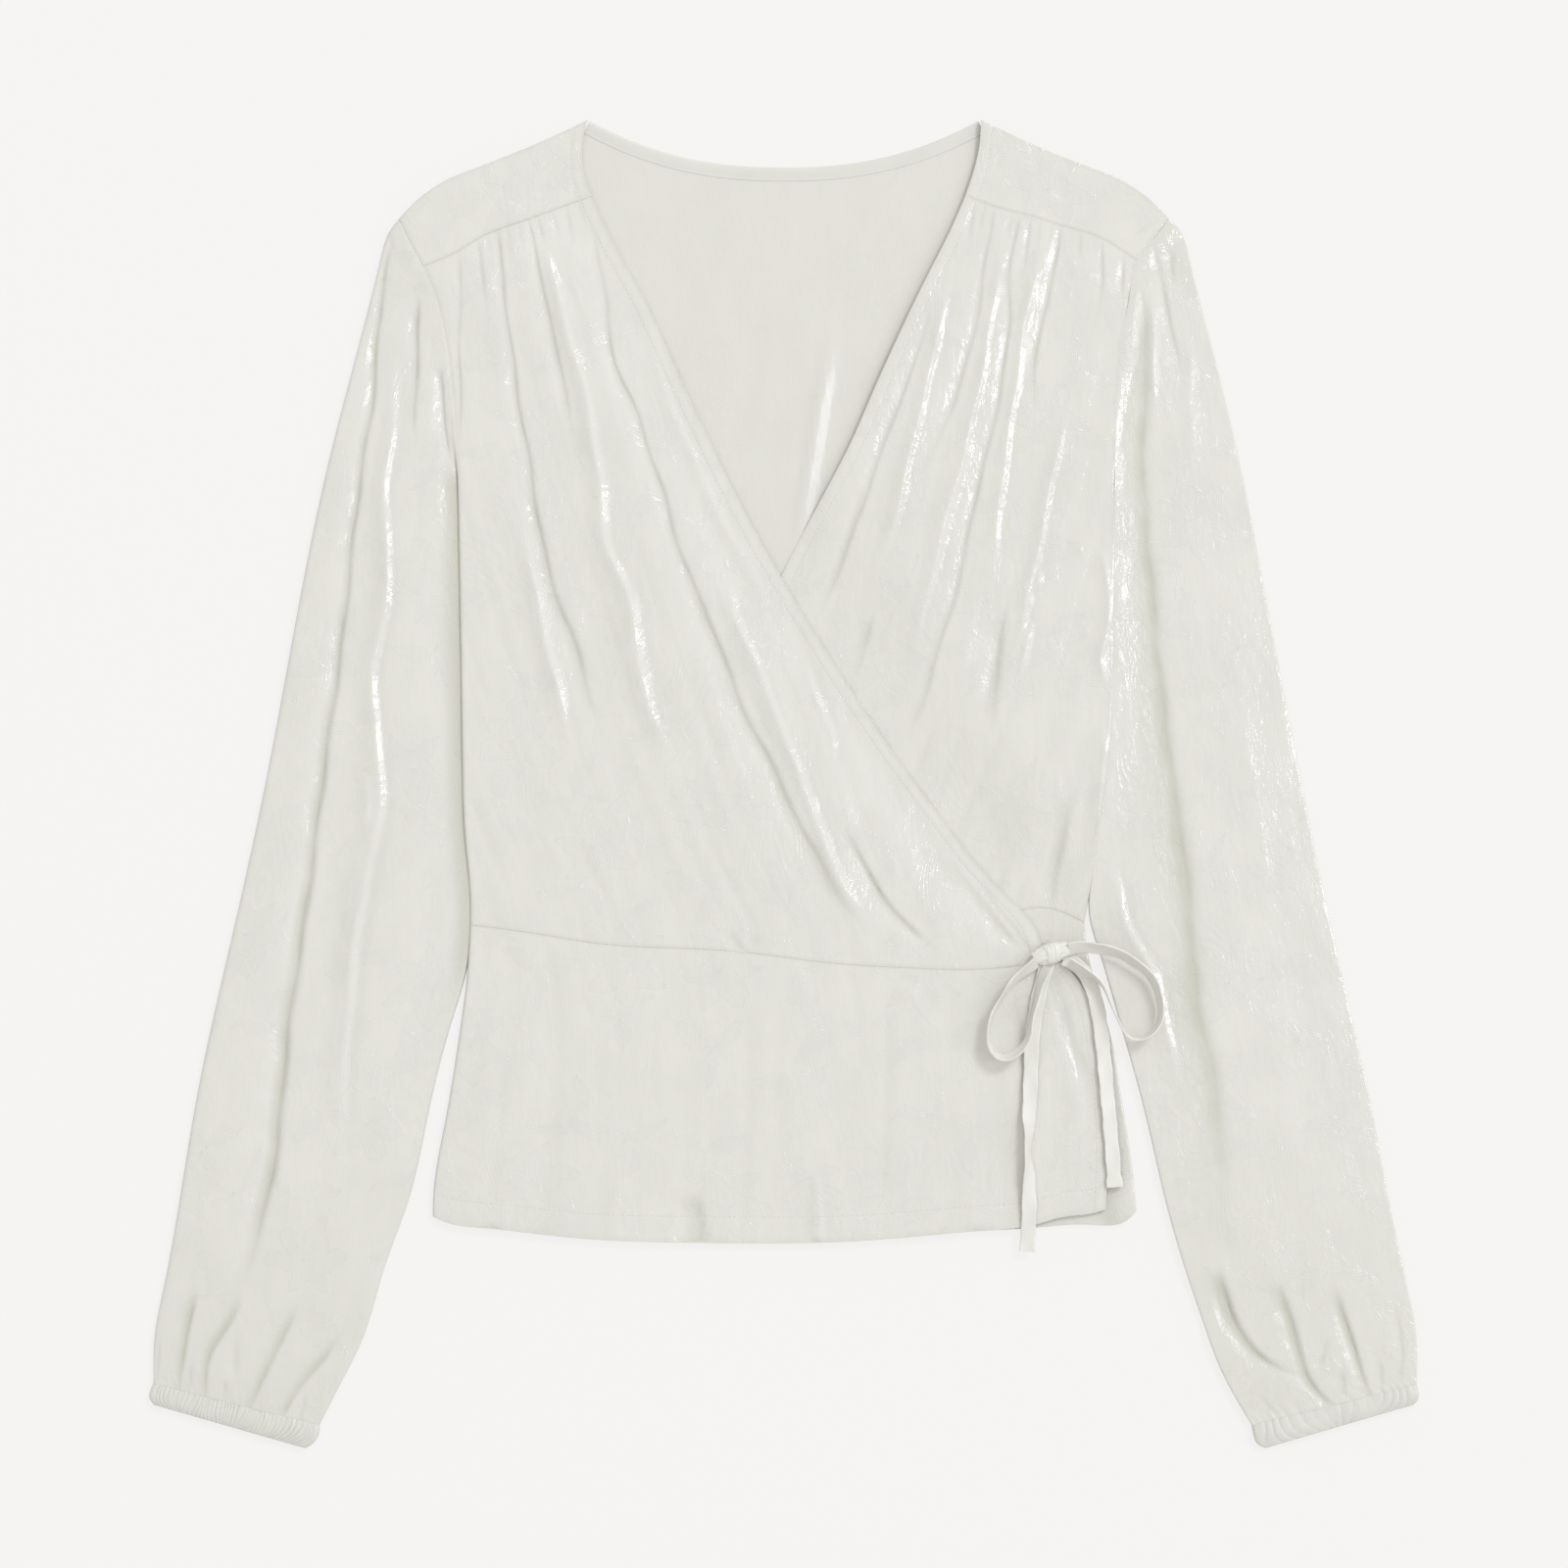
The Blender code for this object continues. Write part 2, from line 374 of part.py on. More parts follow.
def satin(name, colour=IVORY, roughness=SATIN_ROUGHNESS):
    """The cloth's finish."""
    material = bpy.data.materials.new(name)
    material.use_nodes = True
    shader = material.node_tree.nodes["Principled BSDF"]
    shader.inputs["Base Color"].default_value = (*colour, 1.0)
    shader.inputs["Roughness"].default_value = roughness
    shader.inputs["Metallic"].default_value = 0.0
    return material


def add_piece(name, data, parts):
    """Puts a mesh or curve in the blouse's collection, with its own finish."""
    data.materials.append(satin(name + "_satin"))
    piece = bpy.data.objects.new(name, data)
    parts.objects.link(piece)
    return piece


def add_wall(piece, wall, offset=-1.0):
    """Gives a skin the thickness of its cloth."""
    solidify = piece.modifiers.new("wall", "SOLIDIFY")
    solidify.thickness = wall * MM
    solidify.offset = offset
    solidify.use_even_offset = True
    solidify.use_quality_normals = True


def skin(name, grid, parts, wall=CLOTH, ring=False):
    """Lofts rows of points, in millimetres, into a piece of cloth; ring closes each row."""
    mesh = bpy.data.meshes.new(name)
    shape = bmesh.new()
    rows = [[shape.verts.new(point * MM) for point in row] for row in grid]
    count = len(rows[0])
    for above, below in zip(rows, rows[1:]):
        for i in range(count if ring else count - 1):
            j = (i + 1) % count
            shape.faces.new((above[i], below[i], below[j], above[j]))
    shape.to_mesh(mesh)
    shape.free()
    mesh.shade_smooth()
    piece = add_piece(name, mesh, parts)
    add_wall(piece, wall)
    return piece


def roll_shares(length, rolled, count):
    """Shares of the way along a line at which its points lie, closer together at a rolled start."""
    if not rolled:
        return np.linspace(0.0, 1.0, count + 1)
    insets = np.array([inset for inset, _ in ROLL]) / length
    rest = np.linspace(insets[-1], 1.0, count + 2 - len(ROLL))
    return np.concatenate([insets, rest[1:]])


def panel(name, sides, height, columns, rows, parts, rolled, roll_fade=None):
    """A piece of cloth inside four outlines, raised to a height and rolled down along one of them.

    sides holds the top and bottom, from left to right, and the left and right, from top to
    bottom. rows is a count, or the rows' shares of the way down. roll_fade gives the share of
    the roll at y.
    """
    top, bottom, left, right = (spline(side) for side in sides)
    if rolled == "top":
        rows = roll_shares(np.linalg.norm(left(1.0) - left(0.0)), True, rows)
    elif np.ndim(rows) == 0:
        rows = np.linspace(0.0, 1.0, rows + 1)
    grid = []
    for v in rows:
        start, end = left(v), right(v)
        across = roll_shares(np.linalg.norm(end - start), rolled != "top", columns)
        if rolled == "right":
            across = 1.0 - across[::-1]
        u = across[:, None]
        ruled = (1 - v) * top(across) + v * bottom(across) + (1 - u) * start + u * end
        corners = (1 - u) * (1 - v) * top(0.0) + u * (1 - v) * top(1.0)
        corners = corners + (1 - u) * v * bottom(0.0) + u * v * bottom(1.0)
        grid.append(ruled - corners)
    plan = np.array(grid)
    plan = pulled_in(plan)
    level = height(plan[..., 0], plan[..., 1])
    level = rolled_down(level, plan, rolled, roll_fade)
    return skin(name, np.dstack([plan, level]), parts)


def pulled_in(plan):
    """Moves the outer rows and columns inwards by half a seam's gap."""
    moved = plan.copy()
    for edge, inner in ((0, 1), (-1, -2)):
        step = plan[:, inner] - plan[:, edge]
        moved[:, edge] += step * (SEAM_GAP / 2) / np.linalg.norm(step, axis=1, keepdims=True)
        step = plan[inner] - plan[edge]
        moved[edge] += step * (SEAM_GAP / 2) / np.linalg.norm(step, axis=1, keepdims=True)
    return moved


def rolled_down(level, plan, side, fade):
    """Turns the points along one side down to the surface, as cloth that is folded over there."""
    level = level.copy()
    for i, (_, share) in enumerate(ROLL):
        place = {"top": np.s_[i, :], "left": np.s_[:, i], "right": np.s_[:, -1 - i]}[side]
        rolled = ROLL_FOOT + (level[place] - ROLL_FOOT) * share
        amount = fade(plan[place][:, 1]) if fade else 1.0
        level[place] += (rolled - level[place]) * amount
    return level


def below_armpit(y):
    """The side rolls down below the armpit, and not where the sleeve is sewn on."""
    return ramp(164.0 - y, 0.0, 14.0)


def back_outlines():
    """The outlines of the flat back and of the peplum below it, and of the neck binding."""
    across = np.linspace(-1.0, 1.0, 17) * (NECK_POINT[0] - 0.3)
    dip = NECK_DIP * (np.abs(across) / NECK_POINT[0]) ** NECK_POWER
    neck = np.column_stack([across, NECK_POINT[1] - NECK_DIP + dip])
    slope = np.gradient(neck[:, 1], neck[:, 0])
    normal = np.column_stack([slope, -np.ones_like(slope)]) / np.sqrt(1 + slope**2)[:, None]
    binding = np.concatenate([neck, (neck + normal * BINDING_WIDTH)[::-1]])
    neckline = neck + normal * (BINDING_WIDTH + SEAM_GAP)

    def inset(outline, count, distance):
        points = spline(outline)(np.linspace(0.0, 1.0, count))
        along = np.gradient(points, axis=0)
        along /= np.linalg.norm(along, axis=1, keepdims=True)
        sign = 1.0 if points[0, 0] < 0 else -1.0
        return points + np.stack([-along[:, 1], along[:, 0]], axis=1) * distance * sign

    mirrored = tuple((-x, y) for x, y in SHOULDER)
    bodice = np.concatenate([
        neckline,
        inset(SHOULDER, 8, BACK_INSET)[1:],
        inset(LEFT_ARMHOLE, 12, 0.9)[1:],
        inset(part_of(LEFT_SIDE, 158.0, -70.0), 9, BACK_INSET),
        inset(part_of(RIGHT_SIDE, 158.0, -71.0), 9, BACK_INSET)[::-1],
        inset(RIGHT_ARMHOLE, 12, 0.9)[:0:-1],
        inset(mirrored, 8, BACK_INSET)[:0:-1],
    ])
    hem = spline(RIGHT_HEM)(np.linspace(0.0, 0.84, 12)) + np.array([0.0, 4.0])
    hem_left = spline(LEFT_HEM)(np.linspace(0.86, 0.985, 4)) + np.array([0.0, 4.0])
    peplum = np.concatenate([
        inset(part_of(LEFT_HIP, -75.0, -212.0), 7, BACK_INSET),
        hem_left[::-1],
        hem[:0:-1],
        inset(part_of(RIGHT_HIP, -75.0, -213.0), 7, BACK_INSET)[::-1],
    ])
    return bodice, peplum, binding


def slab(name, outline, thickness, parts):
    """A flat piece cut to an outline, lying on the surface."""
    curve = bpy.data.curves.new(name, "CURVE")
    curve.dimensions = "2D"
    curve.fill_mode = "BOTH"
    curve.extrude = thickness / 2 * MM
    line = curve.splines.new("POLY")
    line.points.add(len(outline) - 1)
    for point, (x, y) in zip(line.points, outline):
        point.co = (x * MM, y * MM, 0.0, 1.0)
    line.use_cyclic_u = True
    piece = add_piece(name, curve, parts)
    piece.location.z = thickness / 2 * MM
    return piece


def tube_row(start, end, bulge, height, top_count, bottom_count):
    """One ring of a flattened tube: over the top from start to end, and back along the surface.

    The first and last points of the top are the rounded edges. bulge adds a bend in plan.
    """
    reach = np.linalg.norm(end - start)
    near = np.array([0.0, 0.5, 1.7, 4.0]) / reach
    across = np.concatenate([near, np.linspace(near[-1], 1 - near[-1], top_count - 6)[1:-1], 1 - near[::-1]])
    share_up = np.ones_like(across)
    share_up[:4] = 0.4, 0.72, 0.92, 1.0
    share_up[-4:] = share_up[3::-1]
    plan = start + (end - start) * across[:, None] + bulge(across)
    top = np.column_stack([plan, height(plan[:, 0], plan[:, 1], across) * share_up])
    back = np.linspace(1.0 - 0.9 / reach, 0.9 / reach, bottom_count)
    plan = start + (end - start) * back[:, None] + bulge(back)
    bottom = np.column_stack([plan, np.zeros(bottom_count)])
    return np.concatenate([top, bottom])


def sleeve(name, armhole, outer, inner, folds, parts):
    """A sleeve as rings from the armhole to the cuff; the first follow the armhole's curve."""
    outer, inner, hole = spline(outer), spline(inner), spline(armhole)
    lag = 0.11  # the inner edge is shorter, so its rings start closer together
    shares = (0.0, 0.02, 0.05, 0.09, 0.135, 0.185, 0.25, 0.33, 0.42, 0.51, 0.6, 0.69, 0.77,
              0.84, 0.885, 0.92, 0.95, 0.975, 1.0)
    leftwards = armhole[0][0] > 0

    def height(x, y, across):
        crown = np.sqrt(np.clip(4 * across * (1 - across), 0.0, 1.0))
        level = SLEEVE_EDGE_LEVEL + SLEEVE_CROWN * crown
        return np.maximum(level + fold_field(x, y, folds), 2 * CLOTH + 0.7)

    grid = []
    for share in shares:
        start, end = outer(share), inner(share - lag * math.sin(math.pi * share))
        left_over = max(0.0, 1.0 - share / 0.25)

        def bulge(across, left_over=left_over):
            down = 1.0 - across if leftwards else across
            straight = hole(0.0) + (hole(1.0) - hole(0.0)) * down[:, None]
            return (hole(down) - straight) * (left_over ** (2 + 8 * down))[:, None]

        if leftwards:
            start, end = end, start
        grid.append(tube_row(start, end, bulge, height, 21, 5))
    grid = np.array(grid)
    for edge, next_row in ((0, 1), (-1, -2)):
        step = grid[next_row, :, :2] - grid[edge, :, :2]
        grid[edge, :, :2] += step * SEAM_GAP / np.linalg.norm(step, axis=1, keepdims=True)
    return skin(name, grid, parts, ring=True)


def cuff(name, rows, parts):
    """An elastic cuff: a flattened band whose upper side is drawn into puckers."""
    top_count = 2 * CUFF_RIBS + 7
    grid = []
    for row in rows:
        start, end = np.array([row.outer_x, row.outer_y]), np.array([row.inner_x, row.inner_y])
        if start[0] > 0:
            start, end = end, start

        def height(x, y, across, level=row.level):
            pucker = np.where(np.arange(len(across)) % 2, 0.3, -0.3)
            return level + pucker * (across > 0.02) * (across < 0.98)

        grid.append(tube_row(start, end, lambda across: 0.0, height, top_count, 8))
    return skin(name, np.array(grid), parts, CUFF_WALL, ring=True)


def tie(name, route, parts):
    """A flat tie: a strip that stands or leans as it runs along its route."""
    route = np.array(route, float)
    smooth = spline(route[:, :3])
    lengths = np.linalg.norm(np.diff(route[:, :3], axis=0), axis=1)
    knots = np.concatenate([[0.0], np.cumsum(lengths)])
    lean = cubic(knots / knots[-1], route[:, 3])
    count = max(3, round(knots[-1] / TIE_STEP))
    shares = np.linspace(0.0, 1.0, count + 1)
    curve = bpy.data.curves.new(name, "CURVE")
    curve.dimensions = "3D"
    curve.twist_mode = "Z_UP"
    curve.extrude = TIE_WIDTH / 2 * MM
    line = curve.splines.new("POLY")
    line.points.add(count)
    for point, place, angle in zip(line.points, smooth(shares), lean(shares)):
        point.co = (*(place * MM), 1.0)
        point.tilt = math.radians(90.0 - angle)
    piece = add_piece(name, curve, parts)
    add_wall(piece, TIE_WALL, offset=0.0)
    return piece


def knot(parts):
    """The bow's knot: a flattened lump drawn in round its middle."""
    mesh = bpy.data.meshes.new("tie_knot")
    shape = bmesh.new()
    bmesh.ops.create_uvsphere(shape, u_segments=16, v_segments=10, radius=0.5)
    base = WAIST_LEVEL + 0.7
    for vert in shape.verts:
        x, y, z = vert.co
        waist = 1.0 - 0.16 * math.exp(-((x / 0.18) ** 2))
        vert.co = (
            (KNOT_CENTRE[0] + x * KNOT_SIZE[0]) * MM,
            (KNOT_CENTRE[1] + y * waist * KNOT_SIZE[1]) * MM,
            (base + (z * waist + 0.5) * KNOT_SIZE[2]) * MM,
        )
    shape.to_mesh(mesh)
    shape.free()
    mesh.shade_smooth()
    return add_piece("tie_knot", mesh, parts)


def build():
    """Clears the scene and makes every piece."""
    for leftover in list(bpy.data.objects):
        bpy.data.objects.remove(leftover)
    parts = collection("wrap_blouse")

    bodice, peplum, binding = back_outlines()
    slab("back_bodice", bodice, CLOTH, parts)
    slab("back_peplum", peplum, CLOTH, parts)
    slab("back_neck_binding", binding, BINDING_WALL, parts)

    right_shoulder = tuple((-x, y) for x, y in reversed(SHOULDER))

    # The yokes: shoulder line, yoke seam, armhole and neck
    panel("right_yoke", (right_shoulder, RIGHT_YOKE_SEAM, RIGHT_ARMHOLE[:3], RIGHT_EDGE[:4]),
          upper_level, 18, 6, parts, "top")
    panel("left_yoke", (SHOULDER, LEFT_YOKE_SEAM, LEFT_EDGE[:4], LEFT_ARMHOLE[:3]),
          upper_level, 18, 6, parts, "top")

    # The fronts: yoke seam, waist seam, side and free edge
    right_side = joined(RIGHT_ARMHOLE[2:], RIGHT_SIDE)
    left_side = joined(LEFT_ARMHOLE[2:], LEFT_SIDE)
    panel("right_front", (RIGHT_YOKE_SEAM, WAIST_SEAM, right_side, RIGHT_EDGE[3:]),
          right_height, 38, FRONT_ROWS, parts, "left", below_armpit)
    panel("left_front", (LEFT_YOKE_SEAM, LEFT_WAIST, LEFT_EDGE[3:], left_side),
          left_height, 34, FRONT_ROWS, parts, "right", below_armpit)

    # The peplum: waist seam, hem, hip and free edge
    panel("right_peplum", (joined(WAIST_SEAM, PEPLUM_SHOULDER), RIGHT_HEM, RIGHT_HIP, RIGHT_PEPLUM_EDGE),
          right_height, 30, 8, parts, "left")
    panel("left_peplum", (LEFT_WAIST, LEFT_HEM, LEFT_PEPLUM_EDGE, LEFT_HIP),
          left_height, 20, 6, parts, "right")

    sleeve("right_sleeve", RIGHT_ARMHOLE, RIGHT_SLEEVE_OUTER, RIGHT_SLEEVE_INNER, RIGHT_SLEEVE_FOLDS, parts)
    sleeve("left_sleeve", LEFT_ARMHOLE, LEFT_SLEEVE_OUTER, LEFT_SLEEVE_INNER, LEFT_SLEEVE_FOLDS, parts)
    cuff("right_cuff", RIGHT_CUFF, parts)
    cuff("left_cuff", LEFT_CUFF, parts)

    knot(parts)
    for name, route in TIES.items():
        tie(name, route, parts)


build()
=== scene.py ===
import math
from collections import namedtuple

import bmesh
import bpy
import numpy as np
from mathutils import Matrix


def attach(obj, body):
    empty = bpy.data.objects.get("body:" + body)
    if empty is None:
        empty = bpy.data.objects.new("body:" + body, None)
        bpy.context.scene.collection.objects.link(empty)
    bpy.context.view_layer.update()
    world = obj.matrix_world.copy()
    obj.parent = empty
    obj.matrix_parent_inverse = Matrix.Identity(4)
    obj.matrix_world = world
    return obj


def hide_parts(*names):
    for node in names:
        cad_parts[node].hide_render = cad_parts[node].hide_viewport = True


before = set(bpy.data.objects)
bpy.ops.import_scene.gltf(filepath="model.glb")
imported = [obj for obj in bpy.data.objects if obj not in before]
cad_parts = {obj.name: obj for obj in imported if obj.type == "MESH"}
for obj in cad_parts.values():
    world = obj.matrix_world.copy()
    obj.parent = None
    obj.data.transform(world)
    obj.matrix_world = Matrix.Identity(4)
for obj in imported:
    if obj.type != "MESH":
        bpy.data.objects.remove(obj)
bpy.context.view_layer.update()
bpy.ops.object.select_all(action="DESELECT")

# Camera and studio. The blouse is looked at from straight above, on a pale floor, under a soft
# light far off to its upper right, a long narrow one on the right for the sheen, and an even sky.
FLOOR_SEEN = 0.8  # metres of floor across the picture
SENSOR_MM, LENS_MM = 36.0, 100.0
CLOTH_TOP = 0.004  # the height that the camera's frame is measured at
FLOOR_SIZE, FLOOR_LEVEL = 6.0, -0.0004

scene = bpy.context.scene
scene.view_settings.view_transform = "Standard"
lens = bpy.data.cameras.new("camera")
lens.sensor_width = SENSOR_MM
lens.lens = LENS_MM
camera = bpy.data.objects.new("camera", lens)
camera.location = (0.0, 0.0, FLOOR_SEEN * LENS_MM / SENSOR_MM + CLOTH_TOP)
scene.collection.objects.link(camera)
scene.camera = camera


def lamp(name, place, width, length, watts, colour):
    """A flat rectangular light that faces the middle of the blouse."""
    data = bpy.data.lights.new(name, "AREA")
    data.shape = "RECTANGLE"
    data.size, data.size_y = width, length
    data.energy = watts
    data.color = colour
    made = bpy.data.objects.new(name, data)
    made.location = place
    x, y, z = place
    made.rotation_euler = (math.atan2(math.hypot(x, y), z), 0.0, math.atan2(-x, y) + math.pi)
    scene.collection.objects.link(made)


lamp("key_light", (6.0, 7.2, 9.4), 3.2, 3.2, 560.0, (0.965, 0.975, 1.0))
lamp("sheen_light", (9.2, 0.9, 10.4), 0.7, 11.4, 290.0, (0.89, 0.89, 1.0))

sky = bpy.data.worlds.new("studio")
sky.use_nodes = True
sky.node_tree.nodes["Background"].inputs["Color"].default_value = (1.0, 0.99, 0.95, 1.0)
sky.node_tree.nodes["Background"].inputs["Strength"].default_value = 0.755
scene.world = sky

bpy.ops.mesh.primitive_plane_add(size=FLOOR_SIZE, location=(0.0, 0.0, FLOOR_LEVEL))
floor = bpy.context.object
floor.name = "floor"
bpy.ops.object.transform_apply(location=True, rotation=True, scale=True)
floor_paint = bpy.data.materials.new("pale_floor")
floor_paint.use_nodes = True
paint = floor_paint.node_tree.nodes["Principled BSDF"]
paint.inputs["Base Color"].default_value = (0.12, 0.119, 0.118, 1.0)
paint.inputs["Roughness"].default_value = 0.9
paint.inputs["Specular IOR Level"].default_value = 0.0
paint.inputs["Emission Color"].default_value = (0.800, 0.784, 0.780, 1.0)
paint.inputs["Emission Strength"].default_value = 1.0
floor.data.materials.append(floor_paint)


# Ties. Two narrow strips of the blouse's satin, each folded over and stitched down one side, and
# tied in a bow beside the waist: two loops that stand on their edges, and two ends that lie flat.
MM = 0.001
TIE_WIDTH = 7.5
TIE_WALL = 1.0
TIE_STEP = 1.2  # between the rings of a strip
TUBE_TOP = 110  # points across the top of a sleeve
TiePoint = namedtuple("TiePoint", "x y level lean")


class Thread:
    """One socket of a finish. Sums and products of threads add their own Math nodes."""

    def __init__(self, tree, socket=None):
        self.tree = tree
        self.socket = socket

    def node(self, kind, settings=None, links=None, output=0):
        """Adds a node, with its settings first and then the values or threads of its sockets."""
        made = self.tree.nodes.new("ShaderNode" + kind)
        for key, value in (settings or {}).items():
            setattr(made, key, value)
        for key, value in (links or {}).items():
            if isinstance(value, Thread):
                self.tree.links.new(value.socket, made.inputs[key])
            else:
                made.inputs[key].default_value = value
        return Thread(self.tree, made.outputs[output])

    def math(self, operation, *others):
        return self.node("Math", {"operation": operation}, dict(enumerate((self, *others))))

    def __add__(self, other):
        return self.math("ADD", other)

    __radd__ = __add__

    def __sub__(self, other):
        return self.math("SUBTRACT", other)

    def __rsub__(self, other):
        return self.node("Math", {"operation": "SUBTRACT"}, {0: other, 1: self})

    def __mul__(self, other):
        return self.math("MULTIPLY", other)

    __rmul__ = __mul__

    def __truediv__(self, other):
        return self.math("DIVIDE", other)

    def __abs__(self):
        return self.math("ABSOLUTE")

    def band(self, low, high):
        """Goes smoothly from 0 at low to 1 at high."""
        return self.node("MapRange", {"interpolation_type": "SMOOTHSTEP"},
                         {"Value": self, "From Min": low, "From Max": high})

    def vector(self, operation, other):
        return self.node("VectorMath", {"operation": operation}, {0: self, 1: other})

    def noise(self, x, y, detail=1.0, roughness=0.5, z=1.0):
        """Soft noise about 0.5 on this vector, drawn x, y and z times smaller."""
        return self.node("TexNoise", {}, {"Vector": self.vector("MULTIPLY", (x, y, z)), "Scale": 1.0,
                                          "Detail": detail, "Roughness": roughness})

    def blend(self, first, second):
        """The second colour where this mask is 1, and the first, a colour or a thread, where it is 0."""
        return self.node("Mix", {"data_type": "RGBA"}, {0: self, 6: first, 7: second}, 2)

    def part(self, axis):
        return self.node("SeparateXYZ", {}, {0: self}, axis)


FOLD_DULL = 0.45  # how much rougher the satin looks where it is folded in


def cloth_finish(name, weave, colour, roughness, specular=0.5):
    """A cloth's material. weave(cloth) gives its colour mask, relief in mm and change of roughness.

    colour is the weave's dark and light, and then, if given, a painted shade colour for folds and edges.
    """
    material = bpy.data.materials.new(name)
    material.use_nodes = True
    tree = material.node_tree
    cloth = Thread(tree).node("UVMap", {"uv_map": "cloth"})
    tone, relief, gloss = weave(cloth)
    shader = tree.nodes["Principled BSDF"]
    bump = cloth.node("Bump", {}, {"Strength": 1.0, "Distance": MM, "Height": relief})
    tree.links.new(bump.socket, shader.inputs["Normal"])
    base = tone.blend((*colour[0], 1.0), (*colour[1], 1.0))
    if len(colour) > 2:  # painted shade: the base colour goes towards the third, darker and warmer colour where the mask is set, and the satin is rougher there too
        shade_mask = cloth.node("Attribute", {"attribute_name": "painted_shade"}, {}, "Fac")
        base = shade_mask.blend(base, (*colour[2], 1.0))
        gloss = gloss + shade_mask * shade_mask * FOLD_DULL
    tree.links.new(base.socket, shader.inputs["Base Color"])
    tree.links.new((gloss + roughness).socket, shader.inputs["Roughness"])
    shader.inputs["Specular IOR Level"].default_value = specular
    return material


def plain_satin(cloth):
    """A close satin weave: fine floats along the strip, with small slubs."""
    floats = cloth.noise(2600.0, 700.0)
    slubs = cloth.noise(900.0, 140.0, 3.0)
    clouds = cloth.noise(40.0, 25.0, 2.0)
    return clouds, floats * 0.05 + slubs * 0.10, (slubs - 0.5) * 0.2


tie_finish = cloth_finish("tie_satin", plain_satin, ((0.745, 0.738, 0.695), (0.80, 0.793, 0.75)), 0.34)


def cubic(knots, values):
    """The natural cubic spline through values, as a function of a place between the knots."""
    knots = np.array(knots, float)
    values = np.array(values, float)
    count = len(knots)
    gaps = np.diff(knots)
    slopes = np.diff(values, axis=0) / gaps.reshape([-1] + [1] * (values.ndim - 1))
    system = np.eye(count)
    bends = np.zeros_like(values)
    for i in range(1, count - 1):
        system[i, i - 1 : i + 2] = gaps[i - 1], 2 * (gaps[i - 1] + gaps[i]), gaps[i]
        bends[i] = 6 * (slopes[i] - slopes[i - 1])
    bends = np.linalg.solve(system, bends)

    def at(place):
        place = np.clip(np.asarray(place, float), knots[0], knots[-1])
        i = np.clip(np.searchsorted(knots, place, side="right") - 1, 0, count - 2)
        shape = place.shape + (1,) * (values.ndim - 1)
        a = ((knots[i + 1] - place) / gaps[i]).reshape(shape)
        b = 1.0 - a
        gap = gaps[i].reshape(shape)
        bend = (a**3 - a) * bends[i] + (b**3 - b) * bends[i + 1]
        return a * values[i] + b * values[i + 1] + bend * gap**2 / 6

    return at


def reach(points, axis=0):
    """How far along its line each point lies, on one line or on all the lines of a grid."""
    steps = np.linalg.norm(np.diff(points, axis=axis), axis=-1)
    return np.insert(np.cumsum(steps, axis=axis), 0, 0.0, axis=axis)


def spline(points):
    """A smooth curve through points, as a function of the share of the way along it."""
    points = np.array(points, float)
    knots = reach(points)
    return cubic(knots / knots[-1], points)


def unit(vectors):
    return vectors / np.linalg.norm(vectors, axis=-1, keepdims=True)


def placed(name, points, faces, finish):
    """An object of these faces through points in mm, laid on the blouse."""
    mesh = bpy.data.meshes.new(name)
    mesh.from_pydata((np.reshape(points, (-1, 3)) * MM).tolist(), [], faces)
    mesh.uv_layers.new(name="cloth")
    mesh.shade_smooth()
    mesh.materials.append(finish)
    piece = bpy.data.objects.new(name, mesh)
    scene.collection.objects.link(piece)
    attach(piece, "root")
    return piece


def woven(name, grid, wall, finish, ring=False, grain=None, caps=False, painted_shade=None):
    """A piece of cloth through rows of points in mm, with its pattern laid along the rows.

    A panel that lies flat has a grain instead, its turn from straight down the blouse in degrees.
    ring closes each row. painted_shade gives each point's share of the finish's painted shade colour.
    """
    rows, columns = grid.shape[:2]
    wide = np.concatenate([grid, grid[:, :1]], axis=1) if ring else grid
    if grain is None:
        across = reach(wide, 1)
        spread = np.dstack([across - across[:, -1:] / 2, reach(wide)])
    else:
        turn = math.radians(grain)
        turned = np.array([[math.cos(turn), math.sin(turn)], [-math.sin(turn), math.cos(turn)]])
        spread = wide[..., :2] @ turned
        if ring:  # the underside carries on from the last edge of the top
            spread[:, TUBE_TOP:, 0] = 2 * spread[:, TUBE_TOP - 1 : TUBE_TOP, 0] - spread[:, TUBE_TOP:, 0]
    width = columns if ring else columns - 1
    index = np.arange(rows * columns).reshape(rows, columns)
    here, beside = index[:, :width], np.roll(index, -1, axis=1)[:, :width]
    faces = np.dstack([here[:-1], here[1:], beside[1:], beside[:-1]]).reshape(-1, 4).tolist()
    places = np.stack([spread[:-1, :-1], spread[1:, :-1], spread[1:, 1:], spread[:-1, 1:]], axis=2)
    places = places.reshape(-1, 2)
    if caps:
        faces += [index[0].tolist(), index[-1, ::-1].tolist()]
        places = np.concatenate([places, np.zeros((2 * columns, 2))])
    piece = placed(name, grid, faces, finish)
    mesh = piece.data
    mesh.uv_layers["cloth"].uv.foreach_set("vector", (places * MM).astype(np.float32).ravel())
    mesh.set_sharp_from_angle(angle=math.radians(45.0))
    # each point's share of the painted shade, stored for the finish
    if painted_shade is not None:
        shade_mask = mesh.attributes.new("painted_shade", "FLOAT", "POINT")
        shade_mask.data.foreach_set("value", painted_shade.astype(np.float32).ravel())
    if wall:
        solidify = piece.modifiers.new("wall", "SOLIDIFY")
        solidify.thickness = wall * MM
        solidify.offset = -1.0
        solidify.use_quality_normals = True
        bpy.context.view_layer.objects.active = piece
        bpy.ops.object.modifier_apply(modifier="wall")
    return piece


